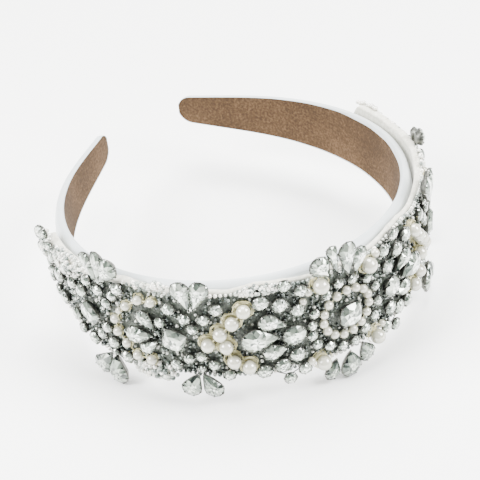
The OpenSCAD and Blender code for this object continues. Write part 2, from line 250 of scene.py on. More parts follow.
# %% Cloth finishes
# Woven polyester satin, pulled tight: a broad soft highlight. The creases are some 20 mm long and 3 mm apart.
satin, tree, shader = finish_of(
    "polyester_satin", "#B9BFC0", Roughness=0.36, Sheen_Weight=0.25, Sheen_Roughness=0.4)
cloth = node(tree, "ShaderNodeUVMap", {"uv_map": "cloth"})
along = node(tree, "ShaderNodeMapping", inputs={"Vector": (cloth, "UV"), "Scale": (0.05, 0.35, 1.0)})
creases = node(tree, "ShaderNodeTexNoise", inputs={"Vector": (along, "Vector"), "Scale": 1.0, "Detail": 3.0})
node(tree, "ShaderNodeBump", inputs={"Height": (creases, "Fac"), "Strength": 0.25, "Distance": 0.0015},
     to=shader.inputs["Normal"])

# Brushed suede: no gloss, and a mottled tan. Its tufts are drawn 0.9 mm wide, coarser than real ones so that
# they show, over brush strokes of 25 mm, and the fibres that catch the light are 0.6 mm long.
suede, tree, shader = finish_of("brushed_suede", "#A88A6C", Roughness=0.95, Specular_IOR_Level=0.15)
spot = node(tree, "ShaderNodeTexCoord")
nap = node(tree, "ShaderNodeTexNoise", inputs={"Vector": (spot, "Object"), "Scale": 1100.0, "Detail": 3.0})
brushed = node(tree, "ShaderNodeTexNoise", inputs={"Vector": (spot, "Object"), "Scale": 40.0, "Detail": 3.0})
fine = node(tree, "ShaderNodeMath", {"operation": "MULTIPLY"}, {0: (nap, "Fac"), 1: 0.6})
mixed = node(tree, "ShaderNodeMath", {"operation": "MULTIPLY_ADD"},
             {0: (brushed, "Fac"), 1: 0.4, 2: (fine, "Value")})
node(tree, "ShaderNodeValToRGB", inputs={"Fac": (mixed, "Value")},
     stops=[(0.4, "#382A1D"), (0.5, "#453423"), (0.6, "#56422F")], to=shader.inputs["Base Color"])
fibre = node(tree, "ShaderNodeTexNoise", inputs={"Vector": (spot, "Object"), "Scale": 1600.0, "Detail": 2.0})
node(tree, "ShaderNodeBump", inputs={"Height": (fibre, "Fac"), "Strength": 0.5, "Distance": 0.0003},
     to=shader.inputs["Normal"])

# Pressed wool felt: matt ivory, a little fuzzy, with matted fibres about 1.1 mm long.
felt, tree, shader = finish_of("ivory_felt", "#ECE8DD", Roughness=0.9, Sheen_Weight=0.2)
spot = node(tree, "ShaderNodeTexCoord")
fibre = node(tree, "ShaderNodeTexNoise", inputs={"Vector": (spot, "Object"), "Scale": 900.0, "Detail": 4.0})
node(tree, "ShaderNodeValToRGB", inputs={"Fac": (fibre, "Fac")}, stops=[(0.3, "#B4B1A1"), (0.7, "#D4D2C6")],
     to=shader.inputs["Base Color"])
node(tree, "ShaderNodeBump", inputs={"Height": (fibre, "Fac"), "Strength": 0.6, "Distance": 0.0004},
     to=shader.inputs["Normal"])
print("cloth finishes made")

# %% [markdown]
# The stones are lead glass with a silver foil behind, so no light passes through. Each facet mirrors the
# room as one patch of white, grey-green or near black, and that patchwork is painted as a shade at each
# corner: a painted reflection, under the hard gloss of glass that the shader adds. The cups are plated
# brass, painted darker as the shade round each stone, and their claws lighter as painted highlights. A
# bead between the stones is the same glass, only tiny, and the ground under them is a net of dark thread,
# painted darker still as the shade between the stones.

# %% Stone, bead and metal finishes
# Cut lead glass with a foil behind it, under a hard clear gloss. Its patches of light and dark are painted
# reflections, read from the shade at each corner.
crystal, tree, shader = finish_of(
    "foiled_glass", "#DDE3DF", Roughness=0.12, Metallic=0.5, IOR=1.6, Coat_Weight=1.0, Coat_Roughness=0.02)
shade = node(tree, "ShaderNodeAttribute", {"attribute_name": "shade"})
node(tree, "ShaderNodeValToRGB", inputs={"Fac": (shade, "Fac")}, to=shader.inputs["Base Color"], stops=[
    (0.0, "#181F1C"), (0.25, "#4A554C"), (0.5, "#7F897C"), (0.75, "#B4BBAE"), (1.0, "#F6F7F1")])

# Stamped brass with silver plate, painted dark as the shade round each stone, and paler and darker in
# spots of about 1.4 mm.
cup_metal, tree, shader = finish_of("plated_brass_painted_shade", "#3A3B38", Metallic=0.8, Roughness=0.45)
spot = node(tree, "ShaderNodeTexCoord")
wear = node(tree, "ShaderNodeTexNoise", inputs={"Vector": (spot, "Object"), "Scale": 700.0, "Detail": 2.0})
node(tree, "ShaderNodeValToRGB", inputs={"Fac": (wear, "Fac")}, stops=[(0.35, "#2E2F2B"), (0.65, "#6C6D66")],
     to=shader.inputs["Base Color"])

# The same plate on claws 0.4 mm wide, painted lighter as a highlight: each is one bright point.
claw_metal = finish_of("silver_claw_painted_highlight", "#9C9D98", Metallic=1.0, Roughness=0.25)[0]

# Drawn glass seed beads with a silvered hole: each takes one tone from grey to warm white, and a glint.
seed_glass, tree, shader = finish_of(
    "silver_lined_seed_glass", "#C9CFC9", Roughness=0.12, Metallic=0.25, IOR=1.52, Coat_Weight=1.0)
shade = node(tree, "ShaderNodeAttribute", {"attribute_name": "shade"})
node(tree, "ShaderNodeValToRGB", inputs={"Fac": (shade, "Fac")}, to=shader.inputs["Base Color"],
     stops=[(0.0, "#2A322E"), (0.3, "#59635C"), (0.6, "#9AA198"), (1.0, "#E6E2D8")])

# A knotted net of dark thread and the smallest beads: matt, in knots 0.9 mm across. Its darkness is partly
# painted shade between the stones, and the hollows between the knots are painted darker as shade.
ground, tree, shader = finish_of("dark_bead_net_painted_shade", "#3C4440", Roughness=0.55)
spot = node(tree, "ShaderNodeTexCoord")
knots = node(tree, "ShaderNodeTexVoronoi", inputs={"Vector": (spot, "Object"), "Scale": 1100.0})
node(tree, "ShaderNodeValToRGB", inputs={"Fac": (knots, "Distance")}, to=shader.inputs["Base Color"],
     stops=[(0.0, "#5A6158"), (0.45, "#434940"), (1.0, "#272B26")])
node(tree, "ShaderNodeBump", {"invert": True},
     {"Height": (knots, "Distance"), "Strength": 0.8, "Distance": 0.0005}, to=shader.inputs["Normal"])
print("stone and bead finishes made")

# %% [markdown]
# A bead pearl is a plastic or glass ball dipped many times in a pearl lacquer. The layers give a soft glow
# under a clear gloss. The body is painted lighter and warmer where the eye looks straight on, and darker
# toward the rim as painted shade. The thread between them is gold.

# %% Pearl and thread finishes
# Glass ball dipped in pearl lacquer: a cream body under a deep clear gloss, painted darker toward the rim
# as shade.
pearl, tree, shader = finish_of(
    "pearl_lacquer", "#DAD5C6", Roughness=0.25, Coat_Weight=1.0, Coat_IOR=1.8, Coat_Roughness=0.05,
    Specular_IOR_Level=1.0)
rim = node(tree, "ShaderNodeLayerWeight", inputs={"Blend": 0.35})
node(tree, "ShaderNodeValToRGB", inputs={"Fac": (rim, "Facing")}, to=shader.inputs["Base Color"],
     stops=[(0.0, "#B9B7A6"), (0.35, "#A7A591"), (0.7, "#7D7C67"), (1.0, "#55564A")])

# Thread wrapped in metal foil: a soft pale gold. Its lighter and darker patches every 2 mm are a painted
# reflection of the foil as it turns.
gold_thread, tree, shader = finish_of("gold_metal_thread", "#D9CDA0", Roughness=0.45, Metallic=0.25)
spot = node(tree, "ShaderNodeTexCoord")
strands = node(tree, "ShaderNodeTexNoise", inputs={"Vector": (spot, "Object"), "Scale": 500.0, "Detail": 2.0})
node(tree, "ShaderNodeValToRGB", inputs={"Fac": (strands, "Fac")}, to=shader.inputs["Base Color"],
     stops=[(0.35, "#A59D6A"), (0.65, "#DAD4AC")])
print("pearl and thread finishes made")

# %% [markdown]
# ## The satin band
# The band is a springy core with padding outside, wrapped in satin that is turned in over the edges. Its
# cross-section is a pillow outside and flat inside, with a lip along each edge, wide above and narrow
# below. One grid carries that section along the whole U, and the section shrinks to nothing at each rounded
# tip. The cloth is pulled tight over a stiff core, so its shape is worked out directly and needs no cloth
# simulation.

# %% Width, thickness and rounded ends
FRONT_W, TIP_W, TAPER = 32.0, 11.5, 1.7
TIP_R = TIP_W / 2
LIP_LEAST, LIP_FRONT, LIP_FADE = 0.15, 4.9, 2.6


def satin_width(s):
    """Width falls from the front to the tips with a power of the distance."""
    return TIP_W + (FRONT_W - TIP_W) * (1 - np.clip(np.abs(s) / ARM, 0, 1) ** TAPER)


def end_share(s, end, r):
    """Share of the width left near an end: a quarter circle over the last r."""
    u = np.clip((np.abs(s) - (end - r)) / r, 0, 1)
    return np.sqrt(1 - u * u)


def stations(end, r, step):
    """Even places along the middle, and places by equal angle round each end."""
    inner = np.linspace(0, end - r, int((end - r) / step) + 1)[1:]
    tip = end - r + r * np.sin(np.radians(np.linspace(0, 90, 12)[1:]))
    half = np.concatenate([inner, tip])
    return np.concatenate([-half[::-1], [0], half])


def waves(s, seed, *lengths):
    """A smooth uneven line: sines of several wavelengths with fixed phases, between -1 and 1."""
    phases = np.random.default_rng(seed).uniform(0, 2 * np.pi, len(lengths))
    return sum(np.sin(2 * np.pi * s / l + p) for l, p in zip(lengths, phases)) / len(lengths)


def turn_in(s, share=1.0):
    """Width of the satin that shows inside an edge: wide at the front, and it fades out toward the tips."""
    fade = np.cos(np.pi / 2 * np.clip(np.abs(s) / ARM, 0, 1)) ** LIP_FADE
    return LIP_LEAST + LIP_FRONT * share * fade


print("satin is", satin_width(0), "wide at the front and", satin_width(ARM), "at the tips")

# %% The satin surface
FRONT_T, TIP_T, TIP_PAD = 3.6, 2.8, 0.4  # thickness in front and at a tip, and the share left at the very end
PILLOW_FLAT, PILLOW_ROUND = 3.2, 0.45  # powers that keep the pillow flat in the middle and round at its edges
PUCKER, LIP_WAVE = 0.12, 0.16  # height of the folds in millimetres, and how unevenly the lips are turned in
LIP, LOW_SHARE = 1.05, 0.4  # how far a lip stands in, and the lower one's width as a share of the upper one's
LIP_MOST, LIP_IN_MOST = 0.9, 0.5  # a lip's greatest width and depth, as shares of the half width
SLANT = 14  # the folds run aslant by this much from the middle to an edge
EDGE_SHARE = np.array([[0, 0.12, 0.3, 0.5, 0.7, 0.85, 0.96, 1.0, 1.02]])
EDGE_RISE = np.array([[0.1, 0.55, 0.9, 1, 1, 0.98, 0.85, 0.4, 0.0]])


def satin_grid():
    """Each row is one section: v runs over the pillow outside, and two lips come back over the inside.

    The pillow is (1 - |v| to one power) to another power, plus a few long low waves. A lip's rise over the
    inside is read from a short table against the share of its width.
    """
    s = stations(ARM, TIP_R, 2.0)[:, None]
    share = end_share(s, ARM, TIP_R)
    half = satin_width(s) / 2 * share
    t = (FRONT_T + (TIP_T - FRONT_T) * np.abs(s) / ARM) * (TIP_PAD + (1 - TIP_PAD) * share)
    v = np.linspace(-1, 1, 27)[None, :]
    pillow = t * (1 - np.abs(v) ** PILLOW_FLAT) ** PILLOW_ROUND
    pillow = pillow + PUCKER * waves(s + SLANT * v, 3, 9, 23, 41) * (1 - v * v)
    edge, rise = EDGE_SHARE, EDGE_RISE
    lip_high = turn_in(s) * (1 + LIP_WAVE * waves(s, 5, 17, 31, 60))
    lip_low = turn_in(s, LOW_SHARE) * (1 + LIP_WAVE * waves(s, 6, 19, 37, 52))
    lip = np.minimum(LIP, half * LIP_IN_MOST)
    up = np.concatenate([half * v, half - edge * np.minimum(lip_high, half * LIP_MOST),
                         -half + edge[:, ::-1] * np.minimum(lip_low, half * LIP_MOST)], 1)
    out = np.concatenate([pillow, -lip * rise, -lip * rise[:, ::-1]], 1)
    points = place(s, up, out)
    run = np.cumsum(np.linalg.norm(np.diff(points, axis=1, append=points[:, :1]), axis=-1), 1) / MM
    return points, np.stack([np.broadcast_to(s, up.shape), run], -1)


grid, cloth_uv = satin_grid()
points, faces = closed_grid(grid)
satin_piece = mesh_piece("satin_band_cloth", points, faces, [satin], uv=closed_grid(cloth_uv)[0])
on_frame(satin_piece, "satin", "satin_band")
print("satin", grid.shape[0], "by", grid.shape[1])

# %% [markdown]
# ## Lining and backing
# Both are flat strips of cloth with cut edges. The suede lies inside, under the satin lips. The felt
# carries the beadwork outside, and its upper edge is rolled into a thick hem on the arms. A strip is a
# closed ring of points per station: two faces and two softly rounded edges.

# %% Strip surface
ROLL_IN, ROLL_HALF = 1.1, 1.5  # the roll's middle below the upper edge, and its half width
# The inner and the outer face of each strip, as distances out from the inner line.
LINING_FACES, FELT_FACES, GROUND_FACES = (-0.9, -0.1), (3.8, 5.0), (5.1, 5.9)


def strip_ring(low, high, inner, outer, r=0.3):
    """Points round a flat section: up the outer face and down the inner one.

    Half the thickness grows with the square root of the distance from an edge, up to r from it.
    """
    mid = (inner + outer) / 2
    w = (1 - np.cos(np.linspace(0, np.pi, 25)[None, :])) / 2
    side = low + (high - low) * w
    crown = (outer - inner) / 2
    round_off = np.clip(np.minimum(w, 1 - w) * (high - low) / r, 0, 1) ** 0.5
    up = np.concatenate([side, side[:, -2:0:-1]], 1)
    out = np.concatenate([mid + crown * round_off, mid - crown * round_off[:, -2:0:-1]], 1)
    return up, out


def strip_piece(name, s, low, high, inner, outer, material, roll=0.0):
    """A cloth strip along the band between two heights and two distances out; roll thickens its hem."""
    up, out = strip_ring(low, high, inner, outer)
    bulge = np.clip(1 - ((high - up - ROLL_IN) / ROLL_HALF) ** 2, 0, 1)
    out = out + roll * bulge * (out > (inner + outer) / 2)
    points, faces = closed_grid(place(s, up, out))
    uv = np.stack([np.broadcast_to(s, up.shape), up], -1)
    return mesh_piece(name, points, faces, [material], uv=closed_grid(uv)[0])


print("a strip's section has", strip_ring(0.0, 1.0, 0.0, 0.1)[0].size, "points")

# %% The suede lining
SHORT = 0.3  # the lining ends this much before the satin
LINING_END, LINING_R = ARM - SHORT, TIP_R - SHORT
TUCK_SHARE, TUCK_MOST = 0.6, 1.2  # the part of a lip's width that lies over the lining


def lining_edge(s, share=1.0):
    """Half the satin's width less its lip, plus what is tucked under the lip."""
    lip = turn_in(s, share)
    return satin_width(s) / 2 - lip + TUCK_SHARE * np.minimum(lip, TUCK_MOST)


s = stations(LINING_END, LINING_R, 3.0)[:, None]
share = end_share(s, LINING_END, LINING_R)
low, high = -lining_edge(s, LOW_SHARE) * share, lining_edge(s) * share
lining_piece = strip_piece("suede_lining_cloth", s, low, high, *LINING_FACES, suede)
on_frame(lining_piece, "suede", "lining")
print("lining", len(s), "stations")

# %% The edges of the beaded strip
STRIP_END, END_R = 116.0, 5.0
RISE = 0.6  # the whole pattern sits this much above the band's middle line
ARM_FROM, ARM_FULL = 40, 85  # where the front starts to turn into an arm, and where it is all arm
EDGE = np.array([  # distance along, lower edge, upper edge
    [0, -22.5, 14], [14, -22, 14.2], [22, -22, 15.6], [28, -22, 16], [36, -21.5, 14], [56, -20.5, 14],
    [70, -20.5, 15.2], [80, -20, 14], [90, -18.5, 13], [104, -14, 12.5]])


def strip_edges(s, end, margin):
    """Lower and upper edge of the beaded strip, drawn in by the margin, rounded at both ends."""
    share = end_share(s, end, END_R)
    low = (np.interp(np.abs(s), EDGE[:, 0], EDGE[:, 1]) + margin) * share + RISE
    high = (np.interp(np.abs(s), EDGE[:, 0], EDGE[:, 2]) - margin) * share + RISE
    return low, high


def arm_share(s):
    """0 across the front and 1 on the arms: it grows evenly with the distance between them."""
    return np.clip((np.abs(s) - ARM_FROM) / (ARM_FULL - ARM_FROM), 0, 1)


print("in front the strip's middle is", sum(strip_edges(0.0, STRIP_END, 0)) / 2, "up")

# %% The felt backing and the ground of the beadwork
WOBBLE = 0.35  # the cut edge isn't quite straight
FLAP_AT, FLAP_HALF, FLAP_DROP = -62.5, 6, 3.4  # the felt reaches lower under the left side flower
ROLL_FRONT, ROLL_ARM = 0.5, 1.9  # thickness of the hem in front, and what the arms add to it
HEM_BARE = 1.3  # the ground ends this much lower on the arms, where the hem is bare
GROUND_IN = 0.8  # the felt shows this much round the ground

s = stations(STRIP_END, END_R, 2.0)[:, None]
low, high = strip_edges(s, STRIP_END, 0)
wobble = WOBBLE * waves(s, 11, 7, 13, 29)
low = low - FLAP_DROP * np.exp(-((s - FLAP_AT) / FLAP_HALF) ** 4)
hem_roll = ROLL_FRONT + ROLL_ARM * arm_share(s)
backing_piece = strip_piece("felt_backing_cloth", s, low - wobble, high + wobble, *FELT_FACES, felt, hem_roll)
on_frame(backing_piece, "backing_felt", "backing")

s = stations(STRIP_END - GROUND_IN, END_R, 2.0)[:, None]
low, high = strip_edges(s, STRIP_END - GROUND_IN, GROUND_IN)
high = high - HEM_BARE * arm_share(s)
ground_piece = strip_piece("bead_ground_net", s, low, high, *GROUND_FACES, ground)
on_frame(ground_piece, "bead_ground", "bead_ground")
print("backing and ground made")

# %% [markdown]
# ## The chart of stones
# A bead worker draws the pattern flat before sewing it. These tables are that drawing for the left half and
# the middle: millimetres along the band from the middle of the front, millimetres up, and the size. The
# right half mirrors it, but the petals near its end are two short ones instead of three.

# %% Pears and petals
# A pear is its tip along and up, the end of its round side along and up, and its width.
CENTRE_PEARS = {
    "top_petal_left": (-6.3, 13.8, -11.8, 22, 6.4), "top_petal_slim": (-3.4, 12.8, -5.4, 24.6, 3.6),
    "top_petal_middle": (-0.2, 10.8, 0.3, 24, 6), "top_petal_right": (2.6, 10.6, 6, 19.6, 5.2),
    "hem_petal_left": (-5.4, -22, -8.4, -30, 5.2), "hem_petal_middle": (-0.6, -20.8, -0.8, -31.8, 7.2),
    "hem_petal_right": (4.4, -20.4, 7.2, -29.2, 5.8)}
SIDE_PEARS = {
    "teardrop_upper": (-20.3, -1, -29.6, 3.2, 5.6), "teardrop_middle": (-22.9, -4.8, -35.6, -4, 8),
    "teardrop_lower": (-20.4, -10.2, -29.2, -11.4, 5.6),
    "flower_pear_upper": (-59.9, -1.6, -65.3, 5.2, 4.6),
    "flower_pear_middle": (-60.6, -4, -70.8, -5.4, 6.2),
    "flower_pear_lower": (-59.4, -6.6, -66, -12, 4.2)}
PETALS = {
    "upper_petals": [(-47.7, 9.4, -50.8, 20.8, 5.8), (-46.7, 9.4, -42.6, 21, 5.8)],
    "lower_petals": [(-47.3, -17, -52, -26.8, 6), (-46.1, -17, -41.4, -26.8, 6)],
    "far_upper_petals": [
        (-78.8, 12.8, -83.6, 22.6, 5), (-77.9, 12.8, -76.6, 25, 4.6), (-77, 12.8, -69.6, 23.4, 6.6)],
    "far_lower_petals": [(-77.2, -17.6, -85.4, -28.2, 6.4), (-75.6, -17.6, -76.2, -30.6, 7.4)]}
FAR_RIGHT_PETALS = [(-78.4, 12.8, -80, 18.4, 4), (-77, 12.8, -71.8, 20.4, 5.6)]
PETAL_LIFT = {"upper_petals": 1.2, "lower_petals": 1.2}
print("pears", len(CENTRE_PEARS), "in the middle and", len(SIDE_PEARS), "single ones per side")

# %% Rounds, pearls and blocks
CENTRE_PEARLS = {
    "top_pearl_left": (-9.2, 11.2, 5.6), "top_pearl_right": (8, 10.3, 5.6),
    "hem_pearl_left": (-9.8, -21.2, 5.4), "hem_pearl_right": (10.6, -22, 5.4)}
ARROW = [
    (-32.4, 7.9, 5), (-36, 3.3, 5), (-39.8, -1, 5), (-43.7, -5.5, 5), (-38.4, -6.4, 5),
    (-36.6, -12.8, 5), (-32.4, -15.6, 5)]
FLOWER_ROUNDS = [
    (-11.5, 0, 3.6), (-12.4, -4.6, 3.6), (-12.6, -8.8, 3.8), (-11.2, -13, 3.8), (-7.2, -15.6, 3.8),
    (-2.8, -18, 3.8), (1.8, -18.4, 3.6), (6.1, -15.6, 3.8), (10.1, -12.6, 3.8), (11.7, -7.4, 3.8),
    (10.9, -0.6, 3.6), (7.5, 4.8, 3.6), (1.9, 7.9, 3.6), (-3, 8.6, 3.6), (-7.2, 5.8, 3.6)]
SIDE_ROUNDS = {
    "inner_upper_rounds": [
        (-16.6, 3.8, 4.8), (-21.8, 7.5, 5.3), (-27.3, 9.7, 5.3), (-20, 14.8, 4.4), (-15.2, 11.2, 4.4)],
    "inner_lower_rounds": [
        (-17.6, -14.6, 5.3), (-22.4, -17.8, 5.3), (-28, -19, 5), (-20.4, -24, 4.4), (-15.6, -21.4, 4.6)],
    "side_upper_rounds": [
        (-57.9, 1.8, 4), (-54.6, 7.9, 4.4), (-50.2, 4.4, 4.2), (-48, 0.2, 4), (-44.3, 4.3, 4.2),
        (-40.3, 8.4, 4.4)],
    "side_lower_rounds": [
        (-54.4, -15.6, 4.2), (-50.3, -12.5, 4), (-46.4, -11.3, 3.8), (-42.8, -15, 4), (-38.6, -19.2, 4.2)],
    "far_rounds": [
        (-76.7, 3.8, 4), (-73.8, 8, 3.8), (-71.2, 11.8, 4.6), (-79.2, 8, 4.3), (-84, 9.8, 4.2),
        (-87.6, 3.8, 5), (-92.6, 4.2, 4.4), (-95.8, 9, 4), (-101, 2.6, 5.6), (-105.8, 7.4, 4.6),
        (-111.6, 8.8, 4.8), (-110.6, 2, 4.4), (-110.8, -4.6, 4.2), (-105.6, -7.4, 4), (-100.4, -7, 5),
        (-93, -9.4, 4.8), (-91, -14.8, 4), (-85.1, -15.6, 4.8), (-80.8, -11.4, 4.2), (-78, -7.4, 4.2),
        (-76.2, -13, 4.6), (-71.6, -17.4, 4.8)]}
FLOWER_PEARLS = [
    (-60, 9.6, 3.5), (-64.2, 9.6, 3.5), (-69, 5.6, 3.5), (-73.9, -1.6, 3.5), (-73.7, -7, 3.5),
    (-70.9, -11, 3.5), (-67.5, -15, 3.6), (-62.6, -15.4, 3.8)]
RING_COUNT, RING_MIDDLE, RING_HALF, RING_PEARL = 15, (-0.4, -4.5), (8.4, 8.9), 3.3
turns = np.radians(360 / RING_COUNT * np.arange(RING_COUNT))
RING = [(RING_MIDDLE[0] + RING_HALF[0] * np.sin(a), RING_MIDDLE[1] + RING_HALF[1] * np.cos(a), RING_PEARL)
        for a in turns]
# A block has its length, its width, and its turn in degrees.
BLOCKS = {"square_stone": (-53.8, -4.3, 7.6, 7.6, -16), "oblong_stone": (-84.4, -3.7, 8, 6.2, -36)}
CENTRE_STONE, BIG_ROUND = (0, -5.2, 8.4), (-18.2, -5.6, 7.8)
SIDES = {"left": 1, "right": -1}
SEAT, CUP = 6.0, 6.6  # how far out the pearls and the cups start
print("rounds in the middle", len(FLOWER_ROUNDS), "and per side", sum(len(v) for v in SIDE_ROUNDS.values()))

# %% [markdown]
# ## A cut stone in its cup
# A brilliant cut has a flat table, a band of slanting facets, and a sharp girdle. The cup is a metal dish
# that holds the girdle with bent claws. One function makes all of them, because a pear, a square and a
# round differ only in their outline: the distance from the middle to the edge in each direction.

# %% Outlines
PEAR_TIP_R = 0.5
PEAR_MIDDLE = 0.6  # the middle of a pear's facets, as a share of its length from the tip
ARC_POINTS, TIP_POINTS, SIDE_POINTS = 90, 30, 40


def round_outline(r):
    """The same distance in every direction."""
    return lambda a: np.full_like(a, r)


def block_outline(half_l, half_w, power=9.0):
    """A superellipse: |x / half length| and |y / half width|, each to one power, add up to 1."""
    return lambda a: (np.abs(np.cos(a) / half_l) ** power
                      + np.abs(np.sin(a) / half_w) ** power) ** (-1 / power)


def pear_outline(length, w):
    """The hull of a big circle and a small tip circle, seen from a middle nearer the round end."""
    big, small = w / 2, PEAR_TIP_R
    middle = length * PEAR_MIDDLE
    y1, y2 = length - big - middle, small - middle
    tilt = np.arcsin((big - small) / (y1 - y2))
    round_arc = np.linspace(-tilt, np.pi + tilt, ARC_POINTS)
    tip_arc = np.linspace(np.pi + tilt, 2 * np.pi - tilt, TIP_POINTS)
    x = np.concatenate([big * np.cos(round_arc), small * np.cos(tip_arc)])
    y = np.concatenate([y1 + big * np.sin(round_arc), y2 + small * np.sin(tip_arc)])
    f = np.linspace(0, 1, SIDE_POINTS)[1:-1]
    p, q = ARC_POINTS - 1, ARC_POINTS
    x, y = (np.concatenate([v, v[0] + (v[-1] - v[0]) * f, v[p] + (v[q] - v[p]) * f]) for v in (x, y))
    angle, far = np.arctan2(y, x), np.hypot(x, y)
    order = np.argsort(angle)
    angle, far = angle[order], far[order]
    return lambda a: np.interp(np.mod(a + np.pi, 2 * np.pi) - np.pi, angle, far, period=2 * np.pi)


print("a pear 10 long and 6 wide reaches", float(pear_outline(10, 6)(np.array(np.pi / 2)).round(2)), "up")

# %% [markdown]
# The points of a stone lie on rings that share the outline, each with its own share of it and its own
# height. The facets join the rings. Real facets mirror the room, which makes each one an even patch of
# light or dark, so each gets a painted reflection by chance, as a shade: the flat table's is drawn from a
# few strong tones, and the slanting facets' from a range. Corners of one facet differ a little, which
# paints a soft gradient of reflection on it.

# %% The cut stone
GLASS, METAL, THREAD, PEARL, CLAW = range(5)  # the places of the materials on a stone's or a pearl's mesh
# Painted reflections: the shades of a stone's facets stand for the room that the glass mirrors.
TABLE_REFLECTION_SHADES = np.array([1.0, 0.86, 0.7, 0.5, 0.3, 0.08])  # of the table, with the odds of each below
ROUND_ODDS = (0.24, 0.18, 0.18, 0.16, 0.12, 0.12)
# The painted reflection shades of each kind of slanting facet, as a range, and how far the corners of one
# facet differ.
STAR, LOWER, KITE, FLICKER = (0.3, 0.85), (0.08, 0.6), (0.2, 0.8), 0.12
CUP_WALL, GIRDLE = 0.14, 0.6  # the wall in millimetres, and the girdle's height as a share of the stone's
TABLE_INNER, CROWN_SHARE, CROWN_LEVEL = 0.5, 0.8, 0.58  # of the table, the outline and the crown's height
# The girdle, the cup's lip inside and outside, and its wall: height over the girdle, and distance out.
GIRDLE_RINGS = ((0, -CUP_WALL), (0.12, -CUP_WALL * 0.7), (0.02, 0.06), (-0.5, 0))
FOOT, CLAW_SHADE = 0.62, 0.8  # the foot is this share of the outline


def cut_stone(outline, h, draw, claws, table=0.52, n=8, odds=ROUND_ODDS):
    """Table, crown and girdle, then the cup down to its foot; claws are the angles where a claw stands.

    The inner points of the table and the girdle's are at n angles or 2 n, and the crown's are half a step on.
    """
    girdle = h * GIRDLE
    a1 = np.arange(n) * 2 * np.pi / n
    a2 = a1 + np.pi / n
    a3 = np.arange(2 * n) * np.pi / n

    def ring(a, share, z, out=0.0):
        r = outline(a) * share + out
        return np.stack([r * np.cos(a), r * np.sin(a), np.full_like(a, z)], -1)

    points = [np.array([[0, 0, h]]), ring(a2, table * TABLE_INNER, h), ring(a1, table, h),
              ring(a2, CROWN_SHARE, girdle + (h - girdle) * CROWN_LEVEL),
              *(ring(a3, 1, girdle + level, out) for level, out in GIRDLE_RINGS),
              ring(a3, FOOT, 0.0), np.array([[0, 0, 0.0]])]
    base = np.cumsum([0] + [len(p) for p in points])
    inner, rim, crown = (base[j] + np.arange(n) for j in (1, 2, 3))
    edge = base[4] + np.arange(2 * n)
    after, before = np.roll(np.arange(n), -1), np.roll(np.arange(n), 1)
    edge_after = np.roll(np.arange(2 * n), -1)
    fan = np.concatenate([np.stack([np.zeros(n, int), inner, inner[after]], 1),
                          np.stack([inner[before], rim, inner], 1), np.stack([inner, rim, rim[after]], 1)])
    star = np.stack([rim, crown, rim[after]], 1)
    kite = np.stack([rim, crown[before], edge[0::2], crown], 1)
    lower = np.concatenate([np.stack([crown, edge[0::2], edge[1::2]], 1),
                            np.stack([crown, edge[1::2], edge[0::2][after]], 1)])
    low, high = (base[j][:, None] + np.arange(2 * n) for j in (np.arange(4, 8), np.arange(5, 9)))
    cup = np.stack([low, high, high[:, edge_after], low[:, edge_after]], -1).reshape(-1, 4)
    last = base[8] + np.arange(2 * n)
    dish = np.stack([np.full(2 * n, base[9]), last[edge_after], last], 1)
    tris = np.concatenate([fan, star, lower, dish])
    fours = np.concatenate([kite, cup])
    # Each facet's shade is a painted reflection, drawn by chance.
    shade3 = np.concatenate([draw.choice(TABLE_REFLECTION_SHADES, len(fan), p=odds), draw.uniform(*STAR, len(star)),
                             draw.uniform(*LOWER, len(lower) + len(dish))])
    shade3 = np.repeat(shade3, 3) + draw.uniform(-FLICKER, FLICKER, 3 * len(tris))
    shade4 = np.repeat(draw.uniform(*KITE, len(fours)), 4)
    shade4 = shade4 + draw.uniform(-FLICKER, FLICKER, 4 * len(fours))
    pins, pin_faces = claw_blocks(outline, girdle, h, claws)
    return dict(points=np.concatenate([*points, pins]), tris=tris,
                fours=np.concatenate([fours, pin_faces + base[10]]),
                kinds=[np.repeat([GLASS, METAL], [len(tris) - len(dish), len(dish)]),
                       np.repeat([GLASS, METAL, CLAW], [len(kite), len(cup), len(pin_faces)])],
                shades=[shade3, np.concatenate([shade4, np.full(4 * len(pin_faces), CLAW_SHADE)])])


def claw_blocks(outline, girdle, h, angles):
    """A claw has four sections of four points, which climb the girdle and bend inward over the crown."""
    a = np.asarray(angles, float)[:, None]
    reach = np.array([[0.02, 0.0, -0.18, -0.5]])
    level = np.array([[-0.5, 0.12, 0.42, 0.6]])
    wide, thick = np.array([[0.2, 0.2, 0.18, 0.12]]), 0.13
    # The outer side of a claw faces out at the girdle and more and more up where it bends over.
    faces_out, faces_up = np.array([[1, 1, 0.7, 0.4]]), np.array([[0, 0.2, 0.7, 0.9]])
    mid_r, z = outline(a) + reach, girdle + level + 0 * a
    corners = []
    for side, lift in ((-1, -1), (1, -1), (1, 1), (-1, 1)):
        r = mid_r + lift * thick * faces_out
        zz = z + lift * thick * faces_up
        corners.append(np.stack([r * np.cos(a) - side * wide * np.sin(a),
                                 r * np.sin(a) + side * wide * np.cos(a), zz], -1))
    points = np.stack(corners, 2)
    one = np.concatenate([quads(4, 4)[:, ::-1], [[0, 1, 2, 3], [15, 14, 13, 12]]])
    faces = (one[None] + 16 * np.arange(len(a))[:, None, None]).reshape(-1, 4)
    return points.reshape(-1, 3), faces


print("the flat table has", 3 * 8, "facets, and the crown", 4 * 8)

# %% [markdown]
# A stone is made lying flat round the origin. Its own frame on the band has one axis along the inner line,
# one up and one outward, so carrying it there is one turn and one shift. Stones that are sewn on as one row
# become one mesh, and the batch below gathers their points and faces until the row is complete.

# %% Where a stone goes


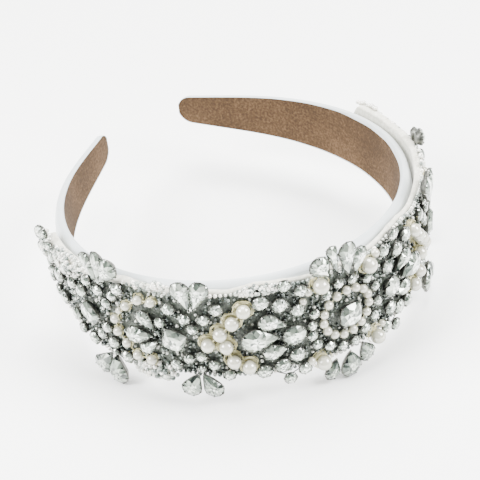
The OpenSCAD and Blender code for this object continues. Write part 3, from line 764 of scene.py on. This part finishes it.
def frame_at(s, up, out, turn=0.0):
    """Origin and three axes of a stone's own frame: along the band, up, and outward, turned by an angle."""
    x, y, a = (float(v) for v in line(s))
    u, w, n = np.array([np.cos(a), np.sin(a), 0]), np.array([0, 0, 1.0]), np.array([np.sin(a), -np.cos(a), 0])
    c, d = np.cos(turn), np.sin(turn)
    origin = np.array([x, y, 0]) + n * out + w * (up + RISE)
    return origin, np.stack([c * u + d * w, c * w - d * u, n])


def seated(points, s, up, out, turn=0.0):
    """Carries points from a stone's own frame onto the band."""
    origin, axes = frame_at(s, up, out, turn)
    return rested(points @ axes + origin)


class Batch:
    """Gathers many small shapes, so that one mesh holds them."""

    def __init__(self):
        self.points, self.faces, self.kinds, self.shades, self.smooth, self.count = [], {}, {}, {}, {}, 0

    def add(self, points, faces, kinds, shades, smooth=False):
        """faces is a list of index arrays; kinds and shades follow it."""
        for f, k, v in zip(faces, kinds, shades):
            size = f.shape[1]
            self.faces.setdefault(size, []).append(f + self.count)
            self.kinds.setdefault(size, []).append(np.broadcast_to(k, len(f)))
            self.shades.setdefault(size, []).append(np.broadcast_to(v, f.size))
            self.smooth.setdefault(size, []).append(np.full(len(f), smooth))
        self.points.append(points)
        self.count += len(points)

    def piece(self, name, materials):
        """The finished mesh."""
        sizes = sorted(self.faces)
        smooth, kinds, shades = (np.concatenate([np.concatenate(d[k]) for k in sizes])
                                 for d in (self.smooth, self.kinds, self.shades))
        return mesh_piece(name, np.concatenate(self.points), [np.concatenate(self.faces[k]) for k in sizes],
                          materials, smooth=smooth, kinds=kinds, values=shades)


STONE_MATERIALS = [crystal, cup_metal, gold_thread, pearl, claw_metal]
footprints = []  # along, up and radius of all that is sewn on, so that the seed beads keep clear


def add_stone(batch, stone, s, up, turn=0.0, lift=0.0):
    """Puts a stone on the band, at the height where its cup starts."""
    batch.add(seated(stone["points"], s, up, CUP + lift, turn), [stone["tris"], stone["fours"]],
              stone["kinds"], stone["shades"])


def add_post(batch, s, up, top, r=0.5):
    """The stem that sews a cup to the ground: an eight-sided prism."""
    a = np.arange(8) * np.pi / 4
    ring = np.stack([r * np.cos(a), r * np.sin(a), 0 * a], -1)
    points = np.concatenate([ring, ring + [0, 0, top - SEAT]])
    cap = np.arange(8)
    batch.add(seated(points, s, up, SEAT), [quads(2, 8), np.stack([cap[::-1], cap + 8])], [METAL, METAL],
              [0.5, 0.5])


print("stone tools ready")

# %% Rounds, pears and blocks
rng = np.random.default_rng(7)
# A cup and its claws stand out past the stone, so each outline is drawn a little wider than the chart says.
ROUND_SHARE, BLOCK_SHARE, PEAR_WIDER = 0.53, 0.54, 1.16
PEAR_TABLE, PEAR_SIDES, PEAR_ODDS = 0.5, 10, (0.24, 0.2, 0.2, 0.18, 0.12, 0.06)
PEAR_CLAWS = np.radians([-90, 20, 65, 115, 160])
BLOCK_TABLE, BLOCK_PRINT = 0.62, 1.05  # the footprint's radius is this many half lengths
FOUR_CLAWS = 4  # rounds up to this size have four claws
FOOT_IN, INTO_CUP = 0.8, 0.1  # a pear's first post from its tip, and how far a post reaches into the cup
# Painted shade: the facet shades of petals that hang below the strip are lowered by this much.
HEM_PAINTED_SHADE = 0.16  # petals that hang below the strip have nothing bright behind them


def stone_height(d):
    """Height of a round over its seat."""
    return 1 + 0.34 * d


def pear_height(w):
    """Height of a pear or block over its seat."""
    return 1 + 0.4 * w


def add_round(batch, s, up, d, lift=0.0):
    """A round brilliant with six claws, or four on a small one."""
    count = 6 if d > FOUR_CLAWS else 4
    claws = np.arange(count) * 2 * np.pi / count + rng.uniform(0, 1)
    stone = cut_stone(round_outline(d * ROUND_SHARE), stone_height(d), rng, claws)
    add_stone(batch, stone, s, up, rng.uniform(0, 1), lift)
    add_post(batch, s, up, CUP + lift + INTO_CUP)
    footprints.append((s, up, d / 2))


def add_pear(batch, row, flip, lift=0.0, painted_shade=0.0):
    """A pear from its tip to its round end, with one claw at the tip and four round the end.

    A post goes under each end that lies over the strip. The footprint is seven circles that grow from the
    tip.
    """
    s0, u0, s1, u1, w = row
    s0, s1 = s0 * flip, s1 * flip
    length = float(np.hypot(s1 - s0, u1 - u0))
    stone = cut_stone(pear_outline(length, w * PEAR_WIDER), pear_height(w), rng, PEAR_CLAWS, PEAR_TABLE,
                      PEAR_SIDES, PEAR_ODDS)
    points = stone["points"] + [0, length * PEAR_MIDDLE, 0]
    # Petals below the strip get painted shade: their facet shades are lowered.
    stone["shades"] = [v - painted_shade for v in stone["shades"]]
    turn = np.arctan2(-(s1 - s0), u1 - u0)
    add_stone(batch, dict(stone, points=points), s0, u0, turn, lift)
    f = np.array([FOOT_IN, length - w / 2])[:, None] / length
    for s, u in np.array([s0, u0]) + f * np.array([s1 - s0, u1 - u0]):
        low, high = strip_edges(np.array(s), STRIP_END, 1.0)
        if low < u + RISE < high:
            add_post(batch, s, u, CUP + lift + INTO_CUP)
    for q in np.linspace(0, 1, 7):
        at = w / 2 / length + q * (1 - w / length)
        r = PEAR_TIP_R + (w / 2 - PEAR_TIP_R) * q
        footprints.append((s0 + (s1 - s0) * at, u0 + (u1 - u0) * at, r))


def add_block(batch, s, up, l, w, turn, power=9.0):
    """A square or oblong stone with a claw at each corner."""
    corner = np.arctan2(w, l)
    stone = cut_stone(block_outline(l * BLOCK_SHARE, w * BLOCK_SHARE, power), pear_height(w), rng,
                      [corner, np.pi - corner, np.pi + corner, -corner], BLOCK_TABLE)
    add_stone(batch, stone, s, up, np.radians(turn))
    add_post(batch, s, up, CUP + INTO_CUP)
    footprints.append((s, up, max(l, w) / 2 * BLOCK_PRINT))


def stone_piece(batch, name, *nodes):
    """Turns a batch into the piece that stands for these nodes."""
    return on_frame(batch.piece(name, STONE_MATERIALS), "crystal", *nodes)


print("a round of 5 mm stands", stone_height(5), "mm over its seat")

# %% [markdown]
# ## Threads and pearls
# Rows of stones and pearls are strung before they are sewn down. A thread is a thin tube from one to the
# next, and a pearl is a ball with its poles along the thread hole.

# %% Tubes and balls
THREAD_R, THREAD_SHADE = 0.2, 0.6
PEARL_SIDES, PEARL_BANDS = 24, 16


def tube(path, r, sides=6):
    """A circle of points round each place of a path, square to it, with a cap at each end."""
    along = np.gradient(path, axis=0)
    along /= np.linalg.norm(along, axis=1, keepdims=True)
    # Any direction that isn't along the path will do to start from: z, or x where the path runs up.
    helper = np.where(np.abs(along[:, 2:]) < 0.8, [[0, 0, 1.0]], [[1.0, 0, 0]])
    across = np.cross(along, helper)
    across /= np.linalg.norm(across, axis=1, keepdims=True)
    other = np.cross(along, across)
    a = np.arange(sides) * 2 * np.pi / sides
    points = path[:, None] + r * (np.cos(a)[:, None] * across[:, None] + np.sin(a)[:, None] * other[:, None])
    n = len(path)
    cap = np.arange(sides)
    return points.reshape(-1, 3), [quads(n, sides), np.stack([cap[::-1], cap + (n - 1) * sides])]


def add_thread(batch, rows, out, closed=False, kind=METAL):
    """Straight thread between neighbours, at one distance out."""
    rows = list(rows) + ([rows[0]] if closed else [])
    for p, q in zip(rows[:-1], rows[1:]):
        f = np.linspace(0, 1, 4)
        path = place(p[0] + (q[0] - p[0]) * f, p[1] + (q[1] - p[1]) * f + RISE, out + 0 * f)
        points, faces = tube(path, THREAD_R * MM)
        batch.add(points, faces, [kind, kind], [THREAD_SHADE, THREAD_SHADE], smooth=True)


def ball(r, sides, bands):
    """A sphere as rings of latitude with one point at each pole."""
    b = np.linspace(-90, 90, bands + 1)[1:-1]
    lat, lon = np.radians(b)[:, None], np.arange(sides)[None] * 2 * np.pi / sides
    x, y, z = np.cos(lat) * np.cos(lon), np.cos(lat) * np.sin(lon), np.sin(lat) + 0 * lon
    rings = r * np.stack([x, y, z], -1).reshape(-1, 3)
    n, m = len(rings), len(b)
    points = np.concatenate([rings, [[0, 0, -r], [0, 0, r]]])
    j, k = np.arange(sides), (np.arange(sides) + 1) % sides
    top = (m - 1) * sides
    caps = np.concatenate([np.stack([k, j, np.full(sides, n)], 1),
                           np.stack([j + top, k + top, np.full(sides, n + 1)], 1)])
    return points, [quads(m, sides), caps]


def add_pearl(batch, s, up, d, lift=0.0):
    """A pearl on its seat."""
    points, faces = ball(d / 2, PEARL_SIDES, PEARL_BANDS)
    batch.add(seated(points, s, up, SEAT + lift + d / 2), faces, [PEARL, PEARL], [1.0, 1.0], smooth=True)
    footprints.append((s, up, d / 2))


def pearl_row(name, rows, flip, lift=0.0, closed=False, *nodes):
    """Pearls on one thread."""
    batch = Batch()
    rows = [(s * flip, up, d) for s, up, d in rows]
    for row in rows:
        add_pearl(batch, *row, lift=lift)
    add_thread(batch, rows, SEAT + lift + rows[0][2] / 2, closed, kind=THREAD)
    return on_frame(batch.piece(name, STONE_MATERIALS), "pearl", *nodes)


print("a pearl has", len(ball(1.0, PEARL_SIDES, PEARL_BANDS)[0]), "points")

# %% [markdown]
# The chart is now read off table by table. Each batch becomes one piece, rides on the one body, and takes
# the place of the solid of its name. Petals of one group share a small round stone where their tips meet.

# %% The middle flower
ROUNDS_THREAD, ARROW_LIFT = 0.3, 0.4  # heights over the seat of the rounds' thread and the arrow's pearls
ROOT_D = 3.0  # the small round where a group's petals meet
CUSHION = 3.2  # the power that rounds the corners of the centre stone
batch = Batch()
add_block(batch, *CENTRE_STONE[:2], CENTRE_STONE[2], CENTRE_STONE[2], 0, CUSHION)
stone_piece(batch, "centre_stone_cut", "centre_stone")
pearl_row("ring_pearls_strung", RING, 1, 0.0, True, "ring_pearls")
batch = Batch()
for row in FLOWER_ROUNDS:
    add_round(batch, *row)
add_thread(batch, FLOWER_ROUNDS, SEAT + ROUNDS_THREAD, closed=True)
stone_piece(batch, "flower_rounds_cut", "flower_rounds")
for name, row in CENTRE_PEARS.items():
    batch = Batch()
    add_pear(batch, row, 1, painted_shade=HEM_PAINTED_SHADE if row[3] < 0 else 0.0)
    stone_piece(batch, name + "_cut", name)
for name, (s, up, d) in CENTRE_PEARLS.items():
    batch = Batch()
    add_pearl(batch, s, up, d)
    on_frame(batch.piece(name + "_ball", STONE_MATERIALS), "pearl", name)
print("middle flower made")

# %% Both sides
for side, flip in SIDES.items():
    for name, row in SIDE_PEARS.items():
        batch = Batch()
        add_pear(batch, row, flip)
        stone_piece(batch, f"{name}_{side}_cut", f"{name}_{side}")
    for name, petals in PETALS.items():
        batch = Batch()
        lift = PETAL_LIFT.get(name, 0.0)
        if name == "far_upper_petals" and side == "right":
            petals = FAR_RIGHT_PETALS
        for row in petals:
            add_pear(batch, row, flip, lift, HEM_PAINTED_SHADE if row[3] < 0 else 0.0)
        root = (petals[0][0] + petals[-1][0]) / 2 * flip
        add_round(batch, root, petals[0][1], ROOT_D)
        stone_piece(batch, f"{name}_{side}_cut", f"{name}_{side}")
    for name, rows in SIDE_ROUNDS.items():
        batch = Batch()
        for s, up, d in rows:
            add_round(batch, s * flip, up, d)
        add_thread(batch, [(s * flip, up) for s, up, d in rows], SEAT + ROUNDS_THREAD)
        stone_piece(batch, f"{name}_{side}_cut", f"{name}_{side}")
    batch = Batch()
    add_round(batch, BIG_ROUND[0] * flip, *BIG_ROUND[1:])
    stone_piece(batch, f"big_round_{side}_cut", f"big_round_{side}")
    for name, (s, up, l, w, turn) in BLOCKS.items():
        batch = Batch()
        add_block(batch, s * flip, up, l, w, turn * flip)
        stone_piece(batch, f"{name}_{side}_cut", f"{name}_{side}")
    for name, rows, lift in (("arrow_pearls", ARROW, ARROW_LIFT), ("side_flower_pearls", FLOWER_PEARLS, 0.0)):
        pearl_row(f"{name}_{side}_strung", rows, flip, lift, False, f"{name}_{side}")
print("sides made", len(footprints), "footprints")

# %% [markdown]
# ## Small pearls and end stones
# A few small pearls fill gaps beside the big ones. At the left end of the strip seven small oval stones
# stand crowded together, tipped outward and toward the tip, so they are turned about two axes before they
# are seated.

# %% Small pearls and end stones
SMALL_PEARLS = [(-12.9, 9.6, 3), (-14.6, 6.2, 2.6), (11.6, 12.6, 3.2), (-13.4, -19.6, 3), (13.8, -19, 2.8),
                (-72.2, 2.2, 2.6), (-16.4, -9.6, 2)]
END_STONES = [  # along, up, length, width, turn in degrees
    (-112.2, 14.0, 6.4, 4.8, 80), (-113.2, 7.6, 4.8, 4.2, 60), (-107.6, 11.6, 3.4, 3, 0),
    (-106, 2.4, 3, 2.6, 0), (-108.6, 15.6, 4.4, 3.4, 75), (-115, 11.0, 4.4, 3.4, 80),
    (-104.8, 13.2, 3.4, 3, 0)]
END_LEAN, END_LIFT = np.radians(40), 1.6
OVAL = 2.0  # the power that makes a block's outline an ellipse

batch = Batch()
for row in SMALL_PEARLS:
    add_pearl(batch, *row)
on_frame(batch.piece("small_pearls", STONE_MATERIALS), "pearl")
batch = Batch()
for s, up, l, w, turn in END_STONES:
    stone = cut_stone(block_outline(l / 2, w / 2, OVAL), stone_height(w), rng, [0, np.pi])
    x, y, z = stone["points"].T
    c, d = np.cos(np.radians(turn)), np.sin(np.radians(turn))
    x, y = c * x - d * y, d * x + c * y
    c, d = np.cos(END_LEAN), np.sin(END_LEAN)
    points = np.stack([x * c + z * d, y, z * c - x * d + END_LIFT], -1)
    add_stone(batch, dict(stone, points=points), s, up)
    footprints.append((s, up, w / 2))
on_frame(batch.piece("end_stones", STONE_MATERIALS), "crystal")
print("small pearls", len(SMALL_PEARLS), "and end stones", len(END_STONES))

# %% [markdown]
# ## Gold thread
# The big pearls are couched in gold thread, which is wound round each one in many loose turns. Each pearl
# gets a low heap of thread, and short curved strands lie over it, so the edge looks soft.

# %% Gold thread
HEAP_IN, HEAP_HIGH, STRAND_R, STRAND_BULGE = 0.2, 1.0, 0.11, 0.3
# Start angle, sweep, share of the heap, and height of a strand.
STRAND_LEAST, STRAND_MOST = (0, 0.5, -0.3, 0.3), (6.28, 1.5, 2.2, 1.8)
ARROW_NEST, FLOWER_NEST, MIDDLE_NEST = (0.4, 44), (0.1, 8), (0.4, 16)  # width of the heap, and strands in it
ABOVE, BELOW = 0.2, 0.9  # the middle flower's nests are moved up by this much, over and under the stone


def add_nest(batch, s, up, d, heap, strands):
    """A flattened ball of thread under a pearl, with arcs of thread round its foot.

    An arc sweeps round the pearl at half its width plus a share of the heap, and bulges by a sine on its way.
    """
    points, faces = ball(1.0, 18, 8)
    r = d / 2 - HEAP_IN
    batch.add(seated(points * [r, r, HEAP_HIGH], s, up, SEAT), faces, [0, 0], [THREAD_SHADE] * 2, smooth=True)
    f = np.linspace(0, 1, 6)
    bulge = STRAND_BULGE * np.sin(np.pi * f)
    for start, sweep, far, high in rng.uniform(STRAND_LEAST, STRAND_MOST, (strands, 4)):
        a, r = start + sweep * f, d / 2 + heap * far + bulge
        points, faces = tube(np.stack([r * np.cos(a), r * np.sin(a), high + bulge], -1), STRAND_R, 5)
        batch.add(seated(points, s, up, SEAT), faces, [0, 0], [THREAD_SHADE] * 2, smooth=True)


for side, flip in SIDES.items():
    batch = Batch()
    for s, up, d in ARROW:
        add_nest(batch, s * flip, up, d, *ARROW_NEST)
    for s, up, d in FLOWER_PEARLS:
        add_nest(batch, s * flip, up, d, *FLOWER_NEST)
    on_frame(batch.piece(f"gold_thread_{side}", [gold_thread]), "pearl")
batch = Batch()
for s, up, d in CENTRE_PEARLS.values():
    add_nest(batch, s, up + (ABOVE if up > 0 else BELOW), d, *MIDDLE_NEST)
on_frame(batch.piece("gold_thread_middle", [gold_thread]), "pearl")
print("gold thread made")

# %% [markdown]
# ## Seed beads
# The spaces between the stones are filled with tiny glass beads. They are scattered on a loose grid, and a
# bead stays where no stone is, in patches that leave some of the dark ground bare. Each is a ball of few
# faces with its own shade, because there are over a thousand of them.

# %% Scatter
REACH, STRIP_LOW, STRIP_HIGH = 115.0, -24.0, 18.0
PITCH_ALONG, PITCH_UP, JITTER = 1.55, 1.45, 0.45
BARE_EDGE, TOUCH = 1.4, -0.1  # how far in from the edge, and how near to a stone, a bead may lie
# Beads stay near an edge and in patches, and elsewhere by chance, with better odds near the ends.
DENSE_EDGE, PATCH, DENSE_FROM, DENSE_ODDS, OPEN_ODDS = 2.6, 0.05, 78, 0.75, 0.55

gs, gu = np.meshgrid(np.arange(-REACH, REACH + 0.1, PITCH_ALONG), np.arange(STRIP_LOW, STRIP_HIGH, PITCH_UP),
                     indexing="ij")
gs = gs + rng.uniform(-JITTER, JITTER, gs.shape)
gu = gu + rng.uniform(-JITTER, JITTER, gu.shape)
spots = np.stack([gs.ravel(), gu.ravel()], -1)
low, high = strip_edges(spots[:, 0], STRIP_END, BARE_EDGE)
spots = spots[(spots[:, 1] + RISE > low) & (spots[:, 1] + RISE < high)]
prints = np.array(footprints)


def clearance(spots):
    """Distance from each spot to the nearest footprint's circle."""
    return (np.hypot(spots[:, :1] - prints[:, 0], spots[:, 1:] - prints[:, 1]) - prints[:, 2]).min(1)


spots = spots[clearance(spots) > TOUCH]
s, up = spots.T
patch = waves(s + 3 * up, 21, 11, 17, 29) + waves(up - 2 * s, 22, 7, 13)
low, high = strip_edges(s, STRIP_END, 0)
near_edge = np.minimum(up - low, high - up)
crowd = (np.abs(s) > DENSE_FROM) & (rng.uniform(0, 1, len(s)) < DENSE_ODDS)
spots = spots[(patch > PATCH) | (near_edge < DENSE_EDGE) | crowd | (rng.uniform(0, 1, len(s)) < OPEN_ODDS)]
print("seed beads", len(spots))

# %% Beads from the scatter
FILL_SIZES, FILL_OUT, FILL_TONES = (0.9, 1.5), 5.9, (0.05, 0.2, 0.4, 0.75)
SUNK = 0.45  # a bead's middle over its seat, as a share of its size


def add_beads(batch, spots, sizes, out, shades):
    """Small balls at many places, each with its own size and shade."""
    unit, faces = ball(0.5, 8, 5)
    for (s, up), d, v in zip(spots, sizes, shades):
        batch.add(seated(unit * d, s, up, out + d * SUNK), faces, [0, 0], [v, v], smooth=True)


batch = Batch()
sizes = rng.uniform(*FILL_SIZES, len(spots))
add_beads(batch, spots, sizes, FILL_OUT, rng.choice(FILL_TONES, len(spots)))
on_frame(batch.piece("seed_bead_fill", [seed_glass]), "bead_ground")
print("fill of", len(spots), "beads made")

# %% [markdown]
# A row of slightly larger beads closes each edge of the strip. Where the photograph shows beads piled up,
# at the left end and along parts of the edges, each cluster is an oval heap: dense in its middle and low at
# its rim.

# %% Edge rows
EDGE_END, EDGE_IN, EDGE_SIZES, EDGE_OUT, EDGE_TONES = 113.0, 0.9, (1.1, 1.9), 5.6, (0.2, 0.5, 0.75, 1.0)
batch = Batch()
s = np.arange(-EDGE_END, EDGE_END + 0.1, PITCH_ALONG)
low, high = strip_edges(s, STRIP_END, EDGE_IN)
for up in (high - RISE, low - RISE):
    sizes = rng.uniform(*EDGE_SIZES, len(s))
    add_beads(batch, np.stack([s, up], -1), sizes, EDGE_OUT, rng.choice(EDGE_TONES, len(s)))
on_frame(batch.piece("seed_bead_edge", [seed_glass]), "bead_ground")
print("edge beads", 2 * len(s))

# %% Bead clusters
CLUSTER_OUT, OVERLAP = 5.7, -0.4  # the rim's distance out, and how near to a stone a bead may lie
CLUSTERS = {  # along, up, half length, half height, heap, count, least size, greatest size, tones
    "cluster_top_left": (-27.5, 13.9, 6.5, 2.2, 1.3, 120, 1.0, 1.4, (0.2, 0.6, 0.9, 1.0)),
    "cluster_low_left": (-62.6, -20.8, 7.5, 3.8, 1.3, 80, 1.3, 2.1, (0.2, 0.5, 0.8, 1.0)),
    "cluster_end_left": (-98, 8.6, 9, 4.2, 2.2, 110, 1.1, 1.8, (0.2, 0.5, 0.8, 1.0)),
    "cluster_tip_left": (-108.5, 9.4, 6, 6.6, 3.4, 220, 1.2, 2.0, (0.2, 0.5, 0.8, 1.0)),
    "cluster_rim_left": (-93, 12.4, 10, 2.8, 2.0, 130, 1.1, 1.7, (0.3, 0.7, 0.9, 1.0)),
    "cluster_tip_right": (108, 12.0, 7, 1.6, 1.3, 40, 1.3, 1.9, (0.9, 1.0)),
    "cluster_hem_left": (-60, 16.0, 6, 1.5, 1.3, 40, 1.2, 1.8, (0.5, 0.8, 1.0)),
    "cluster_top_right": (66, 13.6, 7, 2.6, 1.3, 70, 1.1, 1.7, (0.4, 0.8, 1.0))}
for name, (s0, u0, half_s, half_u, heap, count, d0, d1, tones) in CLUSTERS.items():
    r, a = np.sqrt(rng.uniform(0, 1, count)), rng.uniform(0, 2 * np.pi, count)
    where = np.stack([s0 + half_s * r * np.cos(a), u0 + half_u * r * np.sin(a)], -1)
    clear = clearance(where) > OVERLAP
    batch = Batch()
    for (s, up), q in zip(where[clear], r[clear]):
        size = rng.uniform(d0, d1)
        add_beads(batch, [(s, up)], [size], CLUSTER_OUT + heap * (1 - q * q), [rng.choice(tones)])
    on_frame(batch.piece(name, [seed_glass]), "bead_ground")
print("clusters", len(CLUSTERS))

# %% [markdown]
# ## Camera, floor and light
# The camera stands where the photograph was taken from, above and to the left of the front. The floor is
# pale paper. Two soft panels stand at the sides and one large one hangs behind, and the walls of the studio
# are darker near the floor, so that stones and pearls have something bright and something dark to mirror.

# %% Camera
AZIMUTH, ELEVATION, ROLL = np.radians([-30.03, 34.93, -6.38])
DISTANCE, LENS, SENSOR = 450.0, 93.61, 36.0
TARGET = np.array([-7.67, 45.86, 0.0])


def toward(azimuth, elevation):
    """The direction from the middle to a place; azimuth 0 is in front, and turns toward +X."""
    return np.array([np.sin(azimuth) * np.cos(elevation), -np.cos(azimuth) * np.cos(elevation),
                     np.sin(elevation)])


def stand(obj, axes, where):
    """Puts a camera or a lamp at a place, with its three axes given."""
    obj.matrix_world = Matrix([[*(v[i] for v in axes), where[i]] for i in range(3)] + [[0, 0, 0, 1]])
    bpy.context.scene.collection.objects.link(obj)


back = toward(AZIMUTH, ELEVATION)
right = np.array([np.cos(AZIMUTH), np.sin(AZIMUTH), 0])
upward = np.cross(back, right)
right, upward = np.cos(ROLL) * right + np.sin(ROLL) * upward, np.cos(ROLL) * upward - np.sin(ROLL) * right
origin = rested(np.zeros(3))
turned = [(rested(v) - origin) / MM for v in (right, upward, back)]
eye = rested(TARGET + back * DISTANCE)
camera = bpy.data.objects.new("camera", bpy.data.cameras.new("camera"))
camera.data.lens, camera.data.sensor_width = LENS, SENSOR
stand(camera, turned, eye)
bpy.context.scene.camera = camera
print("camera at", eye.round(3))

# %% Floor
# Matt white paper, the sweep of a studio: no gloss, and a soft shadow.
floor_paper = finish_of("matt_white_paper", "#F4F4F2", Roughness=0.9)[0]
FLOOR_HALF = 3.0  # metres
floor_points = FLOOR_HALF * np.array([[-1, -1, 0], [1, -1, 0], [1, 1, 0], [-1, 1, 0]])
floor = mesh_piece("floor", floor_points, [np.array([[0, 1, 2, 3]])], [floor_paper])
floor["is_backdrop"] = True
print("floor laid")

# %% Light
AIM = (0, 0, 0.03)


def panel(name, azimuth, elevation, far, size, power):
    """A square area light that faces the middle of the headband: its z axis points away from it."""
    z = toward(*np.radians([azimuth, elevation]))
    lamp = bpy.data.lights.new(name, "AREA")
    lamp.shape, lamp.size, lamp.energy = "SQUARE", size, power
    x = np.cross([0, 0, 1], z)
    x /= np.linalg.norm(x)
    stand(bpy.data.objects.new(name, lamp), (x, np.cross(z, x), z), z * far + AIM)


panel("left_softbox", -102, 38, 0.9, 0.45, 27)
panel("right_softbox", 42, 38, 0.9, 0.45, 27)
panel("top_softbox", 150, 72, 1.2, 0.8, 62)
world = bpy.data.worlds.new("studio")
bpy.context.scene.world = world
world.use_nodes = True
tree = world.node_tree
sky = node(tree, "ShaderNodeTexCoord")
height = node(tree, "ShaderNodeSeparateXYZ", inputs={"Vector": (sky, "Generated")})
walls = tree.nodes["Background"].inputs
node(tree, "ShaderNodeValToRGB", inputs={"Fac": (height, "Z")}, to=walls["Color"],
     stops=[(0.0, "#4A5054"), (0.35, "#A9AEB2"), (1.0, "#F2F5F7")])
walls["Strength"].default_value = 1.1
print("light ready")

# %% Sizes
low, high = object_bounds()
print("visual box", [round(v, 4) for v in (*low, *high)])
